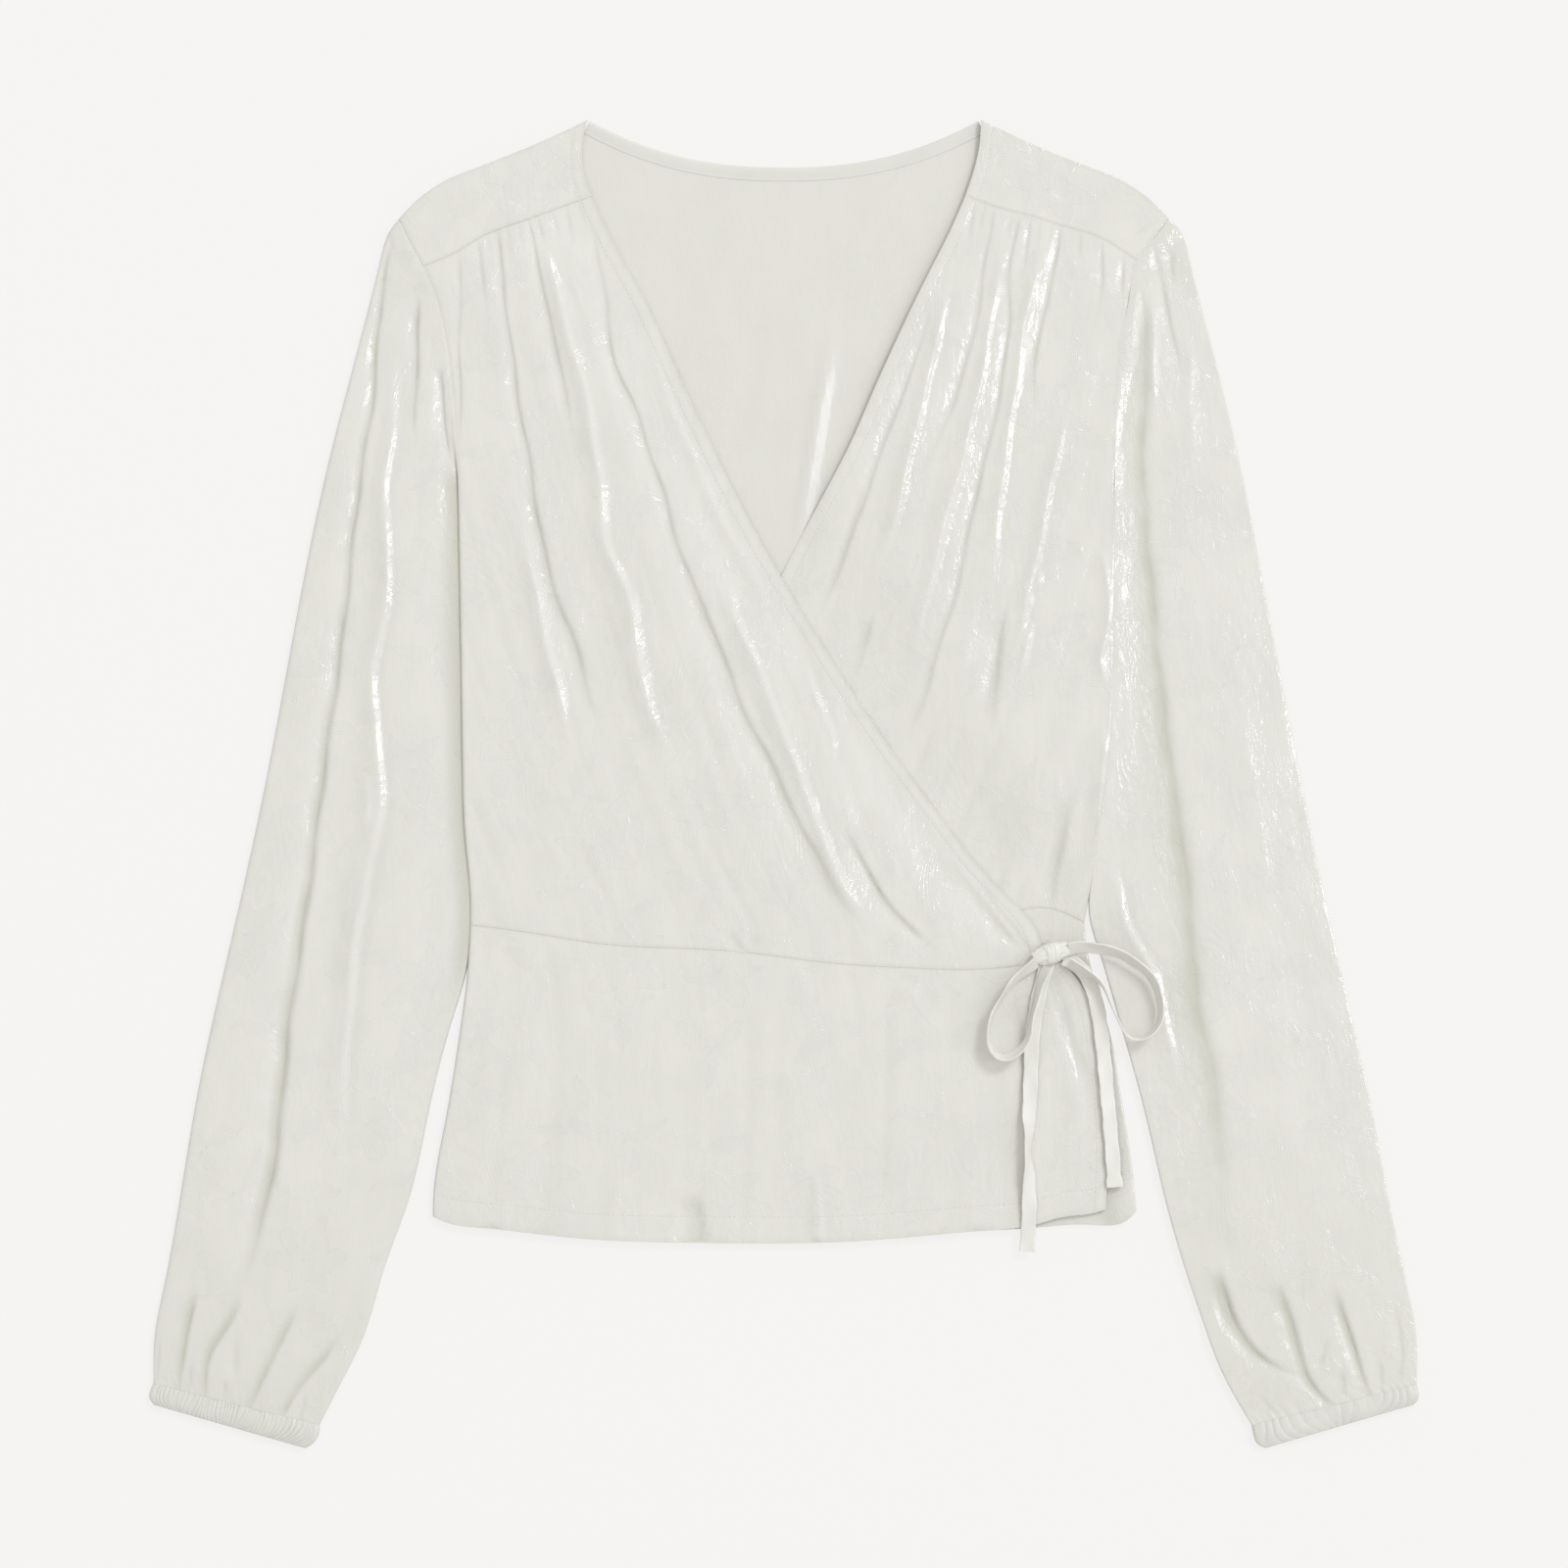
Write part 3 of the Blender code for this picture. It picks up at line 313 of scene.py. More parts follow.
# The upper half of a strip's outline, as shares of its width and its thickness. A free end is
# turned in as far as TURNED_IN, and dips at END_DIP, where the turning ends inside.
STRIP_OUTLINE = ((-1.0, 0.0), (-0.97, 0.36), (-0.87, 0.52), (-0.72, 0.46), (-0.3, 0.36), (0.3, 0.36),
                 (0.72, 0.44), (0.87, 0.5), (0.97, 0.34), (1.0, 0.0))
TURNED_IN = (4.4, 5.6)
END_DIP = 3.2


def strip(name, route):
    """A tie's strip along its route, with a soft ridge at each edge, turned in at a free end."""
    route = np.array(route, float)
    smooth = spline(route[:, :3])
    knots = reach(route[:, :3])
    length = knots[-1]
    lean = cubic(knots / length, route[:, 3])
    shares = np.linspace(0.0, 1.0, round(length / TIE_STEP) + 1)
    places = smooth(shares)
    along = unit(np.gradient(places, axis=0))
    side = unit(np.cross(along, (0.0, 0.0, 1.0)))
    up = np.cross(side, along)
    angle = np.radians(lean(shares))[:, None]
    wide = side * np.cos(angle) + up * np.sin(angle)
    thick = np.cross(wide, along)
    down = shares * length
    ripple = 1.0 + 0.04 * np.sin(down * 0.42) + 0.02 * np.sin(down * 1.1 + 1.0)
    cup = 0.35 * np.sin(down * 0.3 + 0.6)
    wall = np.full_like(shares, TIE_WALL)
    if "tail" in name:
        to_end = (1.0 - shares) * length
        turned_in = np.interp(to_end, TURNED_IN, (1.0, 0.0))
        ripple += 0.12 * turned_in
        wall *= 1.0 + 0.4 * turned_in - 0.45 * np.exp(-(((to_end - END_DIP) / 0.9) ** 2))
    outline = [*STRIP_OUTLINE, *((w, -h) for w, h in STRIP_OUTLINE[-2:0:-1])]
    rings = [places + wide * (w * TIE_WIDTH / 2 * ripple)[:, None]
             + thick * (h * wall + cup * w * w)[:, None] for w, h in outline]
    grid = np.stack(rings, axis=1)[:, ::-1]
    piece = woven(name, grid, 0.0, tie_finish, ring=True, caps=True)
    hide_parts(name.removesuffix("_strip"))
    return piece, (places * MM).tolist(), length * MM


LOOP_LEVEL = 10.9
TIES = {
    "tie_loop_right": (
        TiePoint(128.2, -90.6, 10.6, 45), TiePoint(120, -97.5, LOOP_LEVEL, 55),
        TiePoint(111, -108.5, LOOP_LEVEL, 70), TiePoint(105, -121, LOOP_LEVEL, 77),
        TiePoint(104.6, -132.5, LOOP_LEVEL, 75), TiePoint(111, -139, LOOP_LEVEL, 68),
        TiePoint(119, -136.5, LOOP_LEVEL, 66), TiePoint(124.4, -127.5, LOOP_LEVEL, 74),
        TiePoint(127.2, -115, LOOP_LEVEL, 80), TiePoint(130, -103.5, LOOP_LEVEL, 68),
        TiePoint(134, -93.2, 10.7, 48),
    ),
    "tie_loop_left": (
        TiePoint(145.1, -84, 10.4, 150), TiePoint(153, -83, LOOP_LEVEL, 142),
        TiePoint(163.5, -84.3, LOOP_LEVEL, 132), TiePoint(174, -88, LOOP_LEVEL, 124),
        TiePoint(183, -94.5, LOOP_LEVEL, 120), TiePoint(189.8, -104, LOOP_LEVEL, 116),
        TiePoint(191.6, -115, LOOP_LEVEL, 110), TiePoint(188.8, -125, LOOP_LEVEL, 104),
        TiePoint(182, -129.3, LOOP_LEVEL, 99), TiePoint(174.8, -127.6, LOOP_LEVEL, 95),
        TiePoint(170, -120.5, LOOP_LEVEL, 92), TiePoint(166.3, -111, LOOP_LEVEL, 90),
        TiePoint(160.5, -101, LOOP_LEVEL, 80), TiePoint(153, -95, LOOP_LEVEL, 62),
        TiePoint(144.6, -91, 10.7, 48),
    ),
    "tie_tail_long": (
        TiePoint(134.4, -90.8, 6.7, 5), TiePoint(131, -103, 6.7, 0), TiePoint(128.5, -115, 6.7, 0),
        TiePoint(126.4, -132, 6.7, 0), TiePoint(125.6, -152, 6.6, 0), TiePoint(124.8, -170, 7.4, 25),
        TiePoint(124.3, -186, 8.2, 68), TiePoint(124.8, -203, 7.1, 30), TiePoint(124.8, -221, 5.8, 0),
        TiePoint(124, -238.5, 5, 0),
    ),
    "tie_tail_short": (
        TiePoint(142.8, -88.8, 6.7, 5), TiePoint(151, -94, 6.6, 0), TiePoint(155.5, -100.5, 6.4, 0),
        TiePoint(159, -111, 6.4, 0), TiePoint(161.6, -126, 6.3, 0), TiePoint(163.4, -143, 6.2, 8),
        TiePoint(165, -161, 6.1, 14), TiePoint(166.8, -181, 6, 8), TiePoint(168.6, -205.5, 5.9, 0),
    ),
}
for tie_name, route in TIES.items():
    piece, path, length = strip(tie_name + "_strip", route)


# Knot. The two strips cross, gathered to less than their width, and one of them is drawn tightly
# round both, so that its cloth lies in fine creases over the crossing.
KNOT_CENTRE = np.array([136.0, -86.3, 8.9])
KNOT_TURN = math.radians(17.0)
KNOT_AXIS = np.array([math.cos(KNOT_TURN), math.sin(KNOT_TURN), 0.0])
KNOT_SIDE = np.array([-math.sin(KNOT_TURN), math.cos(KNOT_TURN), 0.0])
UP = (0.0, 0.0, 1.0)
CROSSING = ((-9.4, 2.8, 1.7), (-7.0, 3.6, 2.1), (-3.5, 4.5, 2.4), (0.0, 4.7, 2.5), (3.5, 4.4, 2.4),
            (7.0, 3.9, 2.1), (9.3, 3.3, 1.7))  # along the knot, half width, half height
WRAP_HALF = 3.9
WRAP_WIDE, WRAP_TALL = 4.7, 2.55  # the middle of its loop round the crossing
WRAP_OUTER, WRAP_INNER = 23, 6  # points across its outer and its inner side
WRAP_RINGS = 80
CROSSING_RINGS, CROSSING_POINTS = 44, 64

girth = cubic([row[0] for row in CROSSING], [row[1:] for row in CROSSING])
turn = np.linspace(0.0, 2 * math.pi, CROSSING_POINTS, endpoint=False)
rings = []
for along in np.linspace(CROSSING[0][0], CROSSING[-1][0], CROSSING_RINGS):
    half, tall = girth(along)
    pleat = 1.0 + 0.07 * np.cos(7 * turn + 0.35 * along) + 0.045 * np.cos(12 * turn - 0.5 * along)
    rings.append(KNOT_CENTRE + KNOT_AXIS * along + KNOT_SIDE * (half * pleat * np.cos(turn))[:, None]
                 + np.outer(tall * pleat * np.sin(turn), UP))
crossing = woven("tie_knot_crossing", np.array(rings)[::-1], 0.0, tie_finish, ring=True,
                 caps=True)
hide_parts("tie_knot")

across = np.concatenate([np.linspace(-1.0, 1.0, WRAP_OUTER), np.linspace(0.9, -0.9, WRAP_INNER)])
outer = np.arange(len(across)) < WRAP_OUTER
padded = np.where(outer, 0.55 * np.sqrt(np.clip(1.0 - across**2, 0.0, 1.0)) + 0.05, -0.6)
rings = []
for turn in np.linspace(0.0, 2 * math.pi, WRAP_RINGS, endpoint=False):
    crease = 0.11 * np.cos(across * 12.0 + 1.7 * math.sin(turn)) + 0.09 * np.cos(across * 5.0 - 2.0 * turn)
    out = padded + crease * outer * (1 - across**2)
    lean = 1.3 * math.sin(turn) + 0.5 * math.sin(2 * turn)
    width = WRAP_HALF * (1 + 0.14 * math.cos(turn + 0.6))
    rings.append(KNOT_CENTRE + np.outer(across * width + lean, KNOT_AXIS)
                 + np.outer((WRAP_WIDE + out) * math.cos(turn), KNOT_SIDE)
                 + np.outer((WRAP_TALL + out) * math.sin(turn), UP))
rings.append(rings[0])
wrap = woven("tie_knot_wrap", np.array(rings), 0.0, tie_finish, ring=True)
bpy.ops.object.select_all(action="DESELECT")
wrap.select_set(True)
bpy.context.view_layer.objects.active = wrap
bpy.ops.object.mode_set(mode="EDIT")
bpy.ops.mesh.select_all(action="SELECT")
bpy.ops.mesh.remove_doubles(threshold=0.00001)
bpy.ops.mesh.normals_make_consistent(inside=False)
bpy.ops.object.mode_set(mode="OBJECT")
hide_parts("tie_knot")


# Back. One flat panel of jacquard satin, cut on the fold, whose wrong side shows inside the V of
# the neck, with a flat peplum panel below it. Both lie on the floor under everything else.
CLOTH_WALL = 0.45
BACK_LEVEL = 1.0
BACK_INSET = 1.9  # back panels stop this far inside an edge that rolls down over them
NECK_POINT = (99.5, 339.0)
NECK_DIP = 24.0
NECK_POWER = 2.3
BINDING_WIDTH = 7.3

SHOULDER = ((100.5, 339), (124, 328), (143, 320), (160, 313.5), (172, 308.5), (181, 303), (189.5, 296),
            (196.5, 288.5))
RIGHT_ARMHOLE = ((-196.5, 288.5), (-190.5, 276), (-184, 264), (-178.5, 252), (-174, 236), (-170.5, 214),
                 (-168, 190), (-167, 164))
RIGHT_SIDE = ((-167, 164), (-165.7, 95), (-164.5, 14), (-163, -28), (-160.5, -58), (-160.5, -72))
RIGHT_HIP = ((-160.5, -72), (-161.8, -95), (-166, -128), (-173, -171), (-179.5, -215), (-179.5, -220.5))
RIGHT_HEM = ((-179.5, -220.5), (-171.5, -224), (-154, -226.5), (-131, -229), (-102.5, -232), (-51, -234),
             (-20, -234.3), (17.5, -234), (60, -231.5), (100, -228), (128.5, -224.5), (141, -221),
             (156.5, -219), (163, -217))
LEFT_ARMHOLE = ((196.5, 288.5), (188, 277.5), (179.5, 267), (177, 255), (174, 236), (171, 214),
                (168.8, 190), (168.5, 164))
LEFT_SIDE = ((168.5, 164), (168.5, 103), (167, 33), (165, 5), (160.5, -22), (158, -45), (155, -62),
             (153.5, -71))
LEFT_HIP = ((153.5, -71), (155, -84), (160, -104), (166.5, -127), (172.5, -160), (178, -196), (180, -217.5))
LEFT_HEM = ((-163, -221), (-131, -226.5), (-102.5, -229.5), (-51, -231.5), (17.5, -231.5), (60, -229.5),
            (100, -228), (128.5, -226.6), (155, -225), (174, -223.3), (180, -217.5))


def petals(here, count, length, breadth, turn):
    """Distance outside the nearest of a ring of pointed petals, and from its middle line, in metres."""
    x, y = here.part(0), here.part(1)
    out = here.node("VectorMath", {"operation": "LENGTH"}, {0: here}, "Value")
    sector = (y.math("ARCTAN2", x) * (count / (2 * math.pi)) + turn).math("FRACT") - 0.5
    side = abs(sector * out) * (2 * math.pi / count)
    grown = (out * (math.pi / length)).math("MINIMUM", math.pi).math("SINE") * breadth
    past_tip = (out - length).math("MAXIMUM", 0.0)
    return side - grown + past_tip, side


def figures(cloth, spacing, seed, warp):
    """The nearest figure's middle as the origin, and its own random number, on softly warped cloth."""
    moved = cloth.vector("ADD", (seed * 0.37, seed * 0.61, 0.0))
    bend = cloth.node("TexNoise", {"noise_dimensions": "2D"},
                      {"Vector": moved, "Scale": 55.0, "Detail": 2.0}, "Color")
    bend = bend.vector("SUBTRACT", (0.5, 0.5, 0.5)).vector("MULTIPLY", (warp, warp, 0.0))
    moved = moved.vector("ADD", bend)
    settings = {"voronoi_dimensions": "2D"}
    links = {"Vector": moved, "Scale": 1.0 / spacing, "Randomness": 0.75}
    middle = cloth.node("TexVoronoi", settings, links, "Position")
    chance = cloth.node("TexVoronoi", settings, links, "Color").part(0)
    return moved.vector("SUBTRACT", middle), chance


def line(value, middle, width):
    """1 on the line where value is middle, and 0 beyond width from it."""
    return 1.0 - abs(value - middle).band(width * 0.35, width)


def veined(rib, edge, count):
    """Slanting veins from a petal's rib to its edge."""
    veins = line((rib / (rib - edge) * count).math("FRACT"), 0.5, 0.26)
    return veins * (1.0 - edge.band(-0.0008, 0.0))


def jacquard(cloth):
    """Raised flowers, leaves and flowing stems on a satin ground, all in the ground's own colour."""
    here, chance = figures(cloth, 0.078, 1.0, 0.014)
    edge, rib = petals(here, 6, 0.023, 0.0056, chance)
    small_edge, _ = petals(here, 6, 0.012, 0.0034, chance + 0.5)
    flower = 1.0 - edge.math("MINIMUM", small_edge).band(-0.0003, 0.0004)
    drawn = line(edge, 0.0, 0.0007) + line(small_edge, 0.0, 0.0006) * 0.7 + veined(rib, edge, 3.0) * 0.6

    clear = edge.band(0.002, 0.004)
    here, chance = figures(cloth, 0.044, 5.0, 0.018)
    edge, rib = petals(here, 3, 0.021, 0.0046, chance)
    leaf = (1.0 - edge.band(-0.0003, 0.0004)) * clear
    drawn = drawn + (line(edge, 0.0, 0.0006) * 0.7 + veined(rib, edge, 2.5) * 0.7) * clear

    stems = line((cloth.noise(34.0, 13.0) * 24.0).math("FRACT"), 0.5, 0.3)
    stems = stems * cloth.noise(19.0, 13.0).band(0.54, 0.62) * clear * (1.0 - leaf)

    fill = flower + leaf
    slubs = cloth.noise(420.0, 70.0, 3.0, 0.6)
    crush = cloth.noise(170.0, 80.0, 3.0, 0.6)
    pebbles = cloth.noise(480.0, 230.0, 2.0, 0.6)
    clouds = cloth.noise(42.0, 24.0, 3.0, 0.65)
    relief = drawn * 0.045 + stems * 0.035 + fill * 0.02
    relief = relief + cloth.noise(2400.0, 650.0) * 0.012 + slubs * 0.05 + crush * 0.38 + pebbles * 0.06
    tone = clouds.band(0.3, 0.7) * 0.32 + 0.62 - fill * 0.07 - (drawn + stems) * 0.13
    return tone, relief, fill * 0.06 + (slubs - 0.5) * 0.1


def wrong_side(cloth):
    """The jacquard's wrong side, where the figures are fainter."""
    tone, relief, gloss = jacquard(cloth)
    return tone * 0.7 + 0.2, relief * 0.5, gloss


# The third colour is painted shade, for folds and edges.
IVORY = ((0.655, 0.65, 0.614), (0.75, 0.742, 0.70), (0.585, 0.58, 0.51))
DULL_IVORY = ((0.665, 0.658, 0.617), (0.735, 0.726, 0.685))
back_finish = cloth_finish("jacquard_inside", wrong_side, DULL_IVORY, 0.2, 0.65)
front_finish = cloth_finish("jacquard_satin", jacquard, IVORY, 0.13, 0.75)
binding_finish = cloth_finish("binding_satin", plain_satin, IVORY[:2], 0.32)


def ramp(value, low, high):
    """Goes smoothly from 0 at low to 1 at high."""
    if low == high:
        return np.where(value >= low, 1.0, 0.0)
    share = np.clip((value - low) / (high - low), 0.0, 1.0)
    return share * share * (3.0 - 2.0 * share)


BUMP_CELLS = 64  # random heights before they repeat


def bumps(x, y, across, along, seed):
    """Soft bumps of up to one unit, about as far apart as across and along."""
    lattice = np.random.default_rng(seed).uniform(-1.0, 1.0, (BUMP_CELLS, BUMP_CELLS))
    u, v = x / across + 8 * BUMP_CELLS, y / along + 8 * BUMP_CELLS
    i, j = np.floor(u).astype(int), np.floor(v).astype(int)
    a, b = u - i, v - j
    a, b = a * a * (3.0 - 2.0 * a), b * b * (3.0 - 2.0 * b)

    def mixed(n):
        near, far = (lattice[(i + m) % BUMP_CELLS, (j + n) % BUMP_CELLS] for m in (0, 1))
        return near * (1 - a) + far * a

    return mixed(0) * (1 - b) + mixed(1) * b


def painted_fold_shade(grid, reach_out=6, deep=1.5):
    """How far each point lies below the cloth on both sides of it, as a share of a deep fold: the share of
    painted shade that the fold gets.
    """
    height = np.pad(grid[..., 2], ((0, 0), (reach_out, reach_out)), mode="edge")
    count = grid.shape[1]
    around = sum(height[:, k : k + count] for k in range(2 * reach_out + 1) if k != reach_out)
    return np.clip((around / (2 * reach_out) - grid[..., 2]) / deep, 0.0, 1.0)


def painted_rim_shade(grid, share=0.25):
    """A share of painted shade for the last millimetre of a piece, where it bends out of sight."""
    near = np.full(grid.shape[:2], np.inf)
    for axis in (0, 1):
        start = reach(grid[..., :2], axis)
        near = np.minimum(near, np.minimum(start, start.max(axis=axis, keepdims=True) - start))
    return share * (1.0 - ramp(near, 0.5, 2.4))


def part_of(outline, y_from, y_to):
    """The points of a falling outline from one height down to another."""
    points = np.array(outline)
    across = cubic(-points[:, 1], points[:, 0])
    inner = [tuple(point) for point in outline if y_to + 0.5 < point[1] < y_from - 0.5]
    ends = [(float(across(-y)), y) for y in (y_from, y_to)]
    return (ends[0], *inner, ends[1])


def shares(lengths, near, far, count):
    """Shares of the way along lines of these lengths, with points at set distances from their ends."""
    lengths = np.asarray(lengths, float)[:, None]
    start = np.array(near) / lengths
    end = 1.0 - np.array(far)[::-1] / lengths
    middle = np.linspace(0.0, 1.0, count + 1)[1:-1]
    middle = start[:, -1:] + (end[:, :1] - start[:, -1:]) * middle
    return np.concatenate([start, middle, end], axis=1)


def plan_of(sides, columns, rows, insets):
    """The points of a piece inside four outlines, and each one's distance from the four, in mm.

    sides are the top and bottom, from left to right, and the left and right, from top to bottom.
    insets gives the set distances from the left, right, top and bottom.
    """
    top, bottom, left, right = (spline(side) for side in sides)
    heights = [reach(np.array(side, float))[-1] for side in sides[2:]]
    v_left, v_right = shares(heights, insets[2], insets[3], rows)
    widths = np.linalg.norm(right(v_right) - left(v_left), axis=1)
    u = shares(widths, insets[0], insets[1], columns)
    v = v_left[:, None] * (1 - u) + v_right[:, None] * u
    a, b = u[..., None], v[..., None]
    plan = (1 - b) * top(u) + b * bottom(u) + (1 - a) * left(v) + a * right(v)
    plan -= (1 - b) * ((1 - a) * top(0.0) + a * top(1.0)) + b * ((1 - a) * bottom(0.0) + a * bottom(1.0))
    wide, tall = widths[:, None], heights[0] * (1 - u) + heights[1] * u
    return plan, (u * wide, (1 - u) * wide, v * tall, (1 - v) * tall)


def inset_line(outline, distance):
    """An outline moved inwards, towards the middle of the blouse."""
    points = np.array(outline, float)
    along = unit(np.gradient(points, axis=0))
    sign = 1.0 if points[0, 0] < 0 else -1.0
    return points + np.stack([-along[:, 1], along[:, 0]], axis=1) * distance * sign


def neck_curve(below):
    """The back neck's curve, moved down by a distance."""
    across = np.linspace(-1.0, 1.0, 25) * (NECK_POINT[0] - 0.3)
    dip = NECK_DIP * (np.abs(across) / NECK_POINT[0]) ** NECK_POWER
    neck = np.column_stack([across, NECK_POINT[1] - NECK_DIP + dip])
    slope = np.gradient(neck[:, 1], neck[:, 0])
    normal = np.column_stack([slope, -np.ones_like(slope)]) / np.sqrt(1 + slope**2)[:, None]
    return neck + normal * below


back_top = np.concatenate([
    inset_line([(-x, y) for x, y in SHOULDER], BACK_INSET)[:0:-1],
    neck_curve(BINDING_WIDTH - 0.6),
    inset_line(SHOULDER, BACK_INSET)[1:],
])
back_left = np.concatenate([inset_line(RIGHT_ARMHOLE, 0.9)[:-1],
                            inset_line(part_of(RIGHT_SIDE, 158.0, -71.0), BACK_INSET)])
back_right = np.concatenate([inset_line(LEFT_ARMHOLE, 0.9)[:-1],
                             inset_line(part_of(LEFT_SIDE, 158.0, -70.0), BACK_INSET)])
back_top[0], back_top[-1] = back_left[0], back_right[0]
back_bottom = (tuple(back_left[-1]), (-80.0, -71.0), (0.0, -71.0), (80.0, -70.5), tuple(back_right[-1]))
plan, away = plan_of((back_top, back_bottom, back_left, back_right), 130, 130,
                     ((0.0,), (0.0,), (0.0, 1.0, 2.0), (0.0,)))
x, y = plan[..., 0], plan[..., 1]
inside = ramp(away[2], 4.0, 30.0) * ramp(y, 60.0, 105.0)
level = BACK_LEVEL + inside * (0.35 * (1 + bumps(x, y, 30.0, 110.0, 3)) + 0.1 * bumps(x, y, 9.0, 28.0, 4))
shown = ramp(y, 90.0, 160.0) * (1 - ramp(y, 195.0, 245.0))
for middle, width, rise in ((11.5, 3.6, 1.6), (4.0, 9.0, 0.5), (-27.0, 5.0, -0.6)):
    level += rise * np.exp(-(((x - middle - (y - 150.0) * 0.16) / width) ** 2)) * shown
back = woven("back_bodice_cloth", np.dstack([plan, np.maximum(level, BACK_LEVEL)]), BACK_LEVEL,
             back_finish, grain=0.0)
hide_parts("back_bodice")

peplum_sides = (
    [(-158.6, -75.0), (-80.0, -75.0), (0.0, -75.0), (80.0, -75.0), (152.0, -75.0)],
    np.concatenate([spline(RIGHT_HEM)(np.linspace(0.0, 0.84, 12)) + (0.0, 4.0),
                    spline(LEFT_HEM)(np.linspace(0.86, 0.985, 4)) + (0.0, 4.0)])[1:],
    inset_line(part_of(RIGHT_HIP, -75.0, -213.0), BACK_INSET),
    inset_line(part_of(LEFT_HIP, -75.0, -212.0), BACK_INSET),
)
peplum_sides[0][0], peplum_sides[0][-1] = tuple(peplum_sides[2][0]), tuple(peplum_sides[3][0])
peplum_sides[1][0], peplum_sides[1][-1] = peplum_sides[2][-1], peplum_sides[3][-1]
plan, _ = plan_of(peplum_sides, 80, 34, ((0.0,), (0.0,), (0.0,), (0.0,)))
back_skirt = woven("back_peplum_cloth", np.dstack([plan, np.full(plan.shape[:2], BACK_LEVEL)]), BACK_LEVEL,
                   back_finish, grain=0.0)
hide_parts("back_peplum")


# Neck binding. A bias strip of plain satin folded over the raw edge of the back neck, and
# stitched through close to its lower edge.
BINDING_PROFILE = ((0.0, 0.35), (0.15, 0.75), (0.5, 1.1), (1.2, 1.3), (2.4, 1.36), (3.8, 1.34),
                   (5.2, 1.28), (6.0, 1.16), (6.5, 1.3), (6.95, 1.25), (7.2, 1.0),
                   (7.3, 0.5))  # down from the neck's edge, height
BINDING_POINTS = 161
FLOOR_GAP = 0.02

points = np.linspace(0.0, 1.0, BINDING_POINTS)
rows = [np.insert(spline(neck_curve(down))(points), 2, rise, axis=1) for down, rise in BINDING_PROFILE]
rows += [np.insert(rows[i][:, :2], 2, FLOOR_GAP, axis=1) for i in (-1, -2, 1, 0)]
grid = np.array(rows).transpose(1, 0, 2)
binding = woven("back_neck_binding_cloth", grid[:, ::-1], 0.0, binding_finish, ring=True,
                caps=True)
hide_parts("back_neck_binding")


# Yokes. The shoulder pieces of the two fronts: jacquard satin, plain and flat, lapped over the
# gathered edge of the front below and turned in along the neck, where one row of stitches holds it.
CHEST_LEVEL, SHOULDER_LEVEL, WAIST_LEVEL, HEM_LEVEL = 5.8, 4.8, 4.9, 4.3
WAIST_Y = -85.0
ROLL = ((0, 0), (0.1, 0.42), (0.25, 0.67), (0.5, 0.84), (0.9, 0.94), (1.5, 0.985), (2.2, 1))
ROLL_FOOT = 0.35
CREASED = 3.0  # how much sharper the shoulder and the left side are than the other rolled edges
ROLLED = tuple(inset for inset, _ in ROLL)
NECK_BAND = 6.0  # from a free edge to its row of stitches
TURNED = (0.0, 0.2, 0.6, 1.2, 2.5, 4.4, 5.4, 6.0, 6.6, 7.6)
SEAMED = (0.0, 0.5, 1.2, 2.2)

RIGHT_YOKE_SEAM = ((-184, 264), (-175, 267.5), (-166.5, 271.5), (-156, 278), (-145, 283), (-130.5, 288),
                   (-116, 293.5), (-98, 300))
LEFT_YOKE_SEAM = ((92.5, 300), (114, 292.5), (126.5, 289.5), (142, 284.5), (156, 280.5), (166, 276),
                  (173, 271.5), (179.5, 267))
RIGHT_EDGE = ((-100.5, 339), (-103, 325), (-101.5, 310), (-98, 300), (-89, 280), (-70, 245), (-54.5, 211),
              (-39.5, 179), (-25, 149), (-8.5, 118), (13.5, 81), (35, 47), (58.5, 12.5), (83.5, -21.5),
              (96.5, -38.5), (110, -53.5), (122.5, -66), (130, -78), (131.5, -90.8))
LEFT_EDGE = ((100.5, 339), (99.5, 324.5), (96.5, 312), (92.5, 300), (86.5, 286), (72.5, 258), (58.5, 229),
             (44.5, 198), (34.5, 175), (21.5, 150), (5.5, 120), (-13.5, 83), (-35, 47), (-58.5, 12.5),
             (-83.5, -21.5), (-105, -50), (-118, -73))


def upper_level(y):
    """The height of the upper layer before its folds, which changes down the blouse only."""
    chest = WAIST_LEVEL + (CHEST_LEVEL - WAIST_LEVEL) * ramp(y, WAIST_Y, 0.0)
    shoulder = (CHEST_LEVEL - SHOULDER_LEVEL) * ramp(y, 250.0, 335.0)
    hem = (WAIST_LEVEL - HEM_LEVEL) * ramp(-y, -WAIST_Y, 225.0)
    return chest - shoulder - hem


EDGE_SINK, EDGE_LEVEL = 42.0, 2.8
EDGE_SLANT = 0.84  # from a distance across the blouse to one square to a front's free edge


def beyond_edge(x, y, edge):
    """How far a place lies to the wearer's left of a front's free edge."""
    points = np.array(edge)
    across = cubic(-points[:, 1], points[:, 0])
    return (x - across(-y)) * EDGE_SLANT


def sunk_level(x, y):
    """The right front and its yoke sink towards their free edge, which lies on what is below it."""
    level = upper_level(y)
    sink = ramp(beyond_edge(x, y, RIGHT_EDGE), -EDGE_SINK, 0.0) * ramp(y, -90.0, -60.0)
    return level - (level - EDGE_LEVEL) * sink


def rolled(away):
    """The share of its height that cloth keeps at a distance from an edge that it is folded over at."""
    return np.interp(away, *zip(*ROLL))


def turned_edge(away, band):
    """How much a turned edge stands up at a distance from it, and dips where it is stitched."""
    doubled = 0.13 * (1.0 - ramp(away, band - 0.2, band + 1.4))
    pressed = 0.14 * np.exp(-(((away - band) / 0.5) ** 2))
    return doubled - pressed


def seamed(away, depth=0.1):
    """How far cloth sinks towards a seam."""
    return -depth * np.exp(-((away / 1.1) ** 2))


